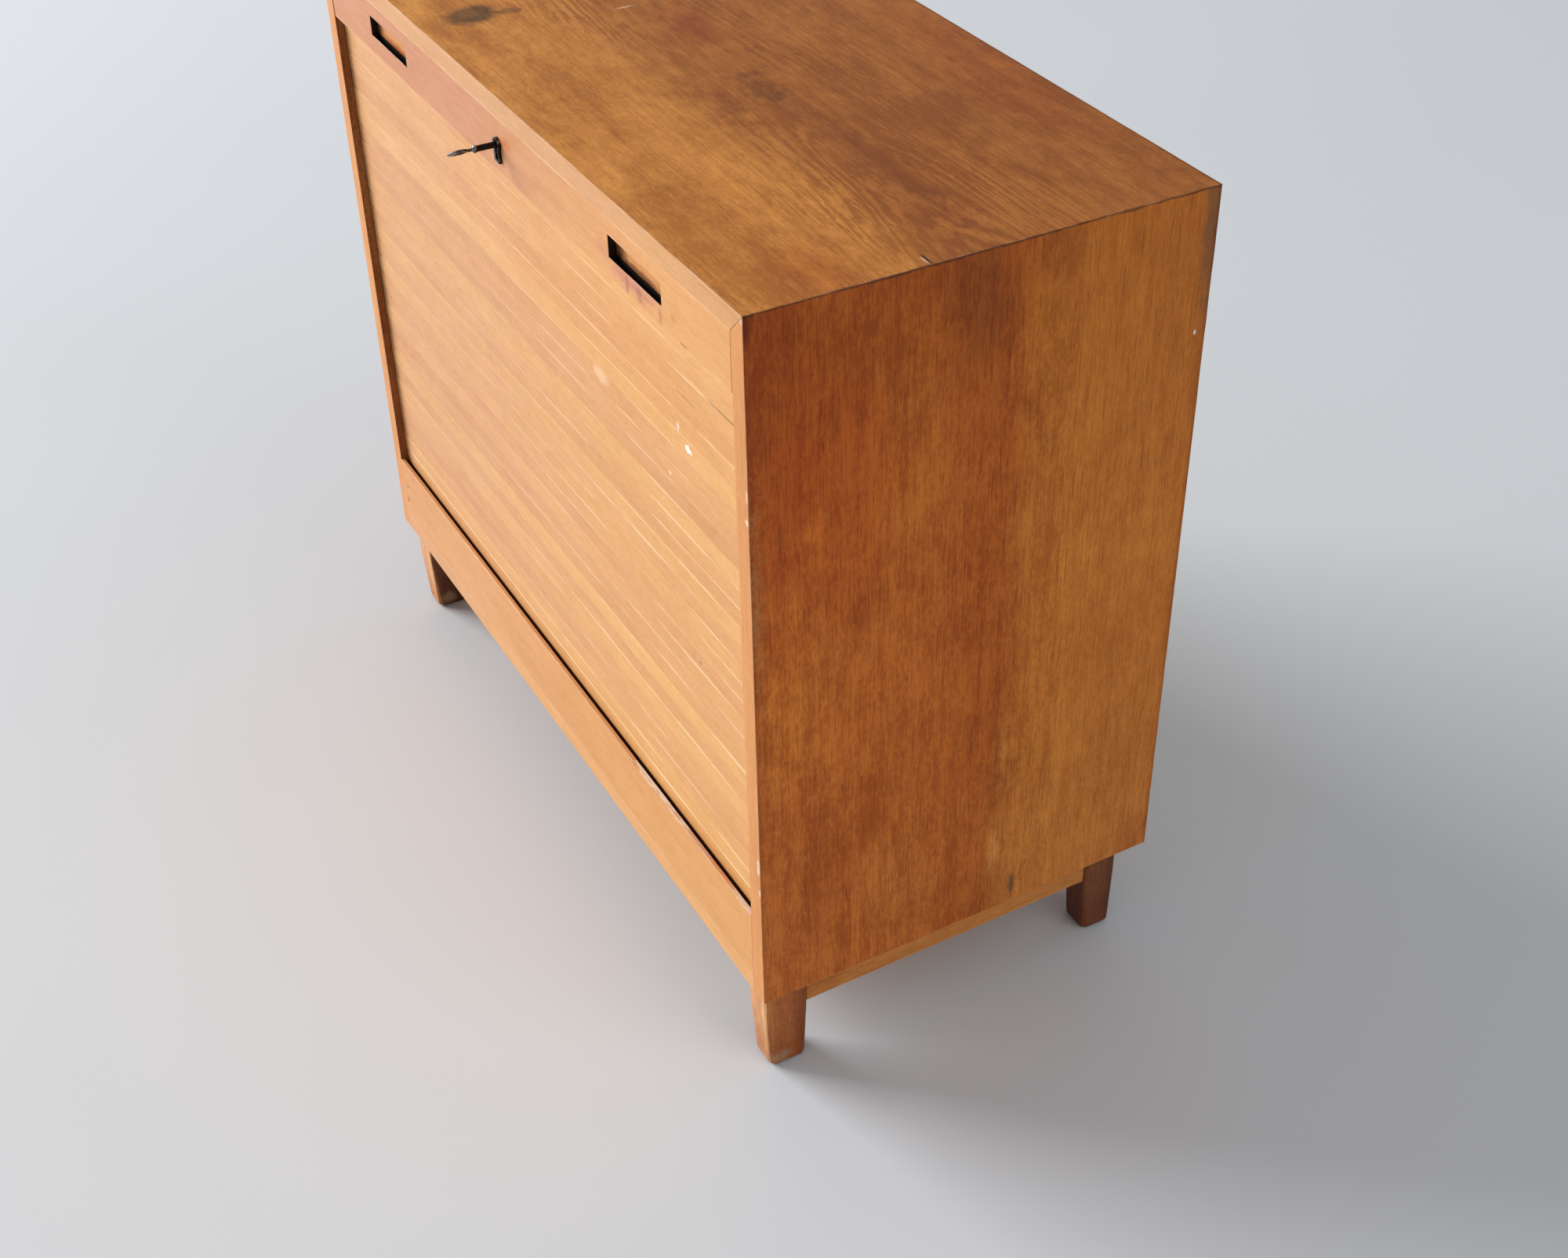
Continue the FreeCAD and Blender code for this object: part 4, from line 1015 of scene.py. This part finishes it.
def makeFittings():
    shank = wornSteel("shankSteel", 0.75, dark="black")
    bow = wornSteel("bowSteel", 0.55, dark="black", smooth=0.16)
    makeKey([shank, bow])
    makeLiner(shank, bow)
    lock = wornSteel("lockSteel", 0.3)
    for node in ("lock_case", "lock_cover", "hook_pivot", "hook_bolt", "strike_plate", "shelf_pins",
                 "base_screws"):
        cad[node].data.materials.clear()
        cad[node].data.materials.append(lock)


makeTop()
makeSides()
makeLeadRail()
makeBottomRail()
makeBottomBoard()
print("box and rails made")
makeCurtain()
makeCanvas()
print("curtain made")
makeLegs()
makeBaseRails()
makeInside()
makeFittings()
print("legs, inside and lock made")


# floor, light and camera

floorLook = {"size": 60.0, "color": (0.655, 0.68, 0.71), "cloud": (0.5, 0.5, 0.5), "cloudMost": 0.06,
             "cloudScale": (1.3, 1.3, 1.3), "rough": 0.7}


def makeFloor():
    material, tree, shader, place = startMaterial("floorPlain")
    soft = noiseAt(tree, place, floorLook["cloudScale"], 2.0)
    cloud = ramp(tree, soft, 0.3, 0.7, 0.0, floorLook["cloudMost"])
    color = mixColor(tree, cloud, floorLook["color"], floorLook["cloud"])
    plugAll(tree, shader, {"Base Color": color, "Roughness": floorLook["rough"]})
    bm = bmesh.new()
    bmesh.ops.create_grid(bm, x_segments=1, y_segments=1, size=floorLook["size"] / 2)
    floor = linkMesh(bm, "floor", [material])


lightLook = {"world": 0.42, "sky": (0.97, 0.985, 1.0), "aim": (0.0, 0.0, 0.45),
             "window": {"at": (-10.8, -7.4, 5.6), "size": (8.4, 6.3), "power": 2570.0},
             "fill": {"at": (5.0, 2.0, 3.4), "size": (4.0, 3.5), "power": 60.0}}


def makeLights():
    for name in ("window", "fill"):
        look = lightLook[name]
        lamp = bpy.data.lights.new(name, "AREA")
        lamp.shape = "RECTANGLE"
        lamp.size, lamp.size_y = look["size"]
        lamp.energy = look["power"]
        lampObject = bpy.data.objects.new(name, lamp)
        lampObject.location = look["at"]
        aim = Vector(lightLook["aim"]) - Vector(look["at"])
        lampObject.rotation_euler = aim.to_track_quat("-Z", "Y").to_euler()
        scene.collection.objects.link(lampObject)
    world = bpy.data.worlds.new("studio")
    world.use_nodes = True
    back = world.node_tree.nodes["Background"]
    plugAll(world.node_tree, back, {"Color": lightLook["sky"], "Strength": lightLook["world"]})
    scene.world = world


cameraLook = {"at": (1.61182, -0.78444, 1.52155), "turn": (52.768, 0.04, 59.865), "sensor": 36.0,
              "lens": 48.08, "shift": (-0.035, 0.00125)}


def makeCamera():
    camera = bpy.data.cameras.new("camera")
    camera.sensor_width = cameraLook["sensor"]
    camera.lens = cameraLook["lens"]
    camera.shift_x, camera.shift_y = cameraLook["shift"]
    cameraObject = bpy.data.objects.new("camera", camera)
    cameraObject.location = cameraLook["at"]
    cameraObject.rotation_euler = [math.radians(angle) for angle in cameraLook["turn"]]
    scene.collection.objects.link(cameraObject)
    scene.camera = cameraObject


makeFloor()
makeLights()
makeCamera()
scene.view_settings.view_transform = "Standard"
print("floor, light and camera made")
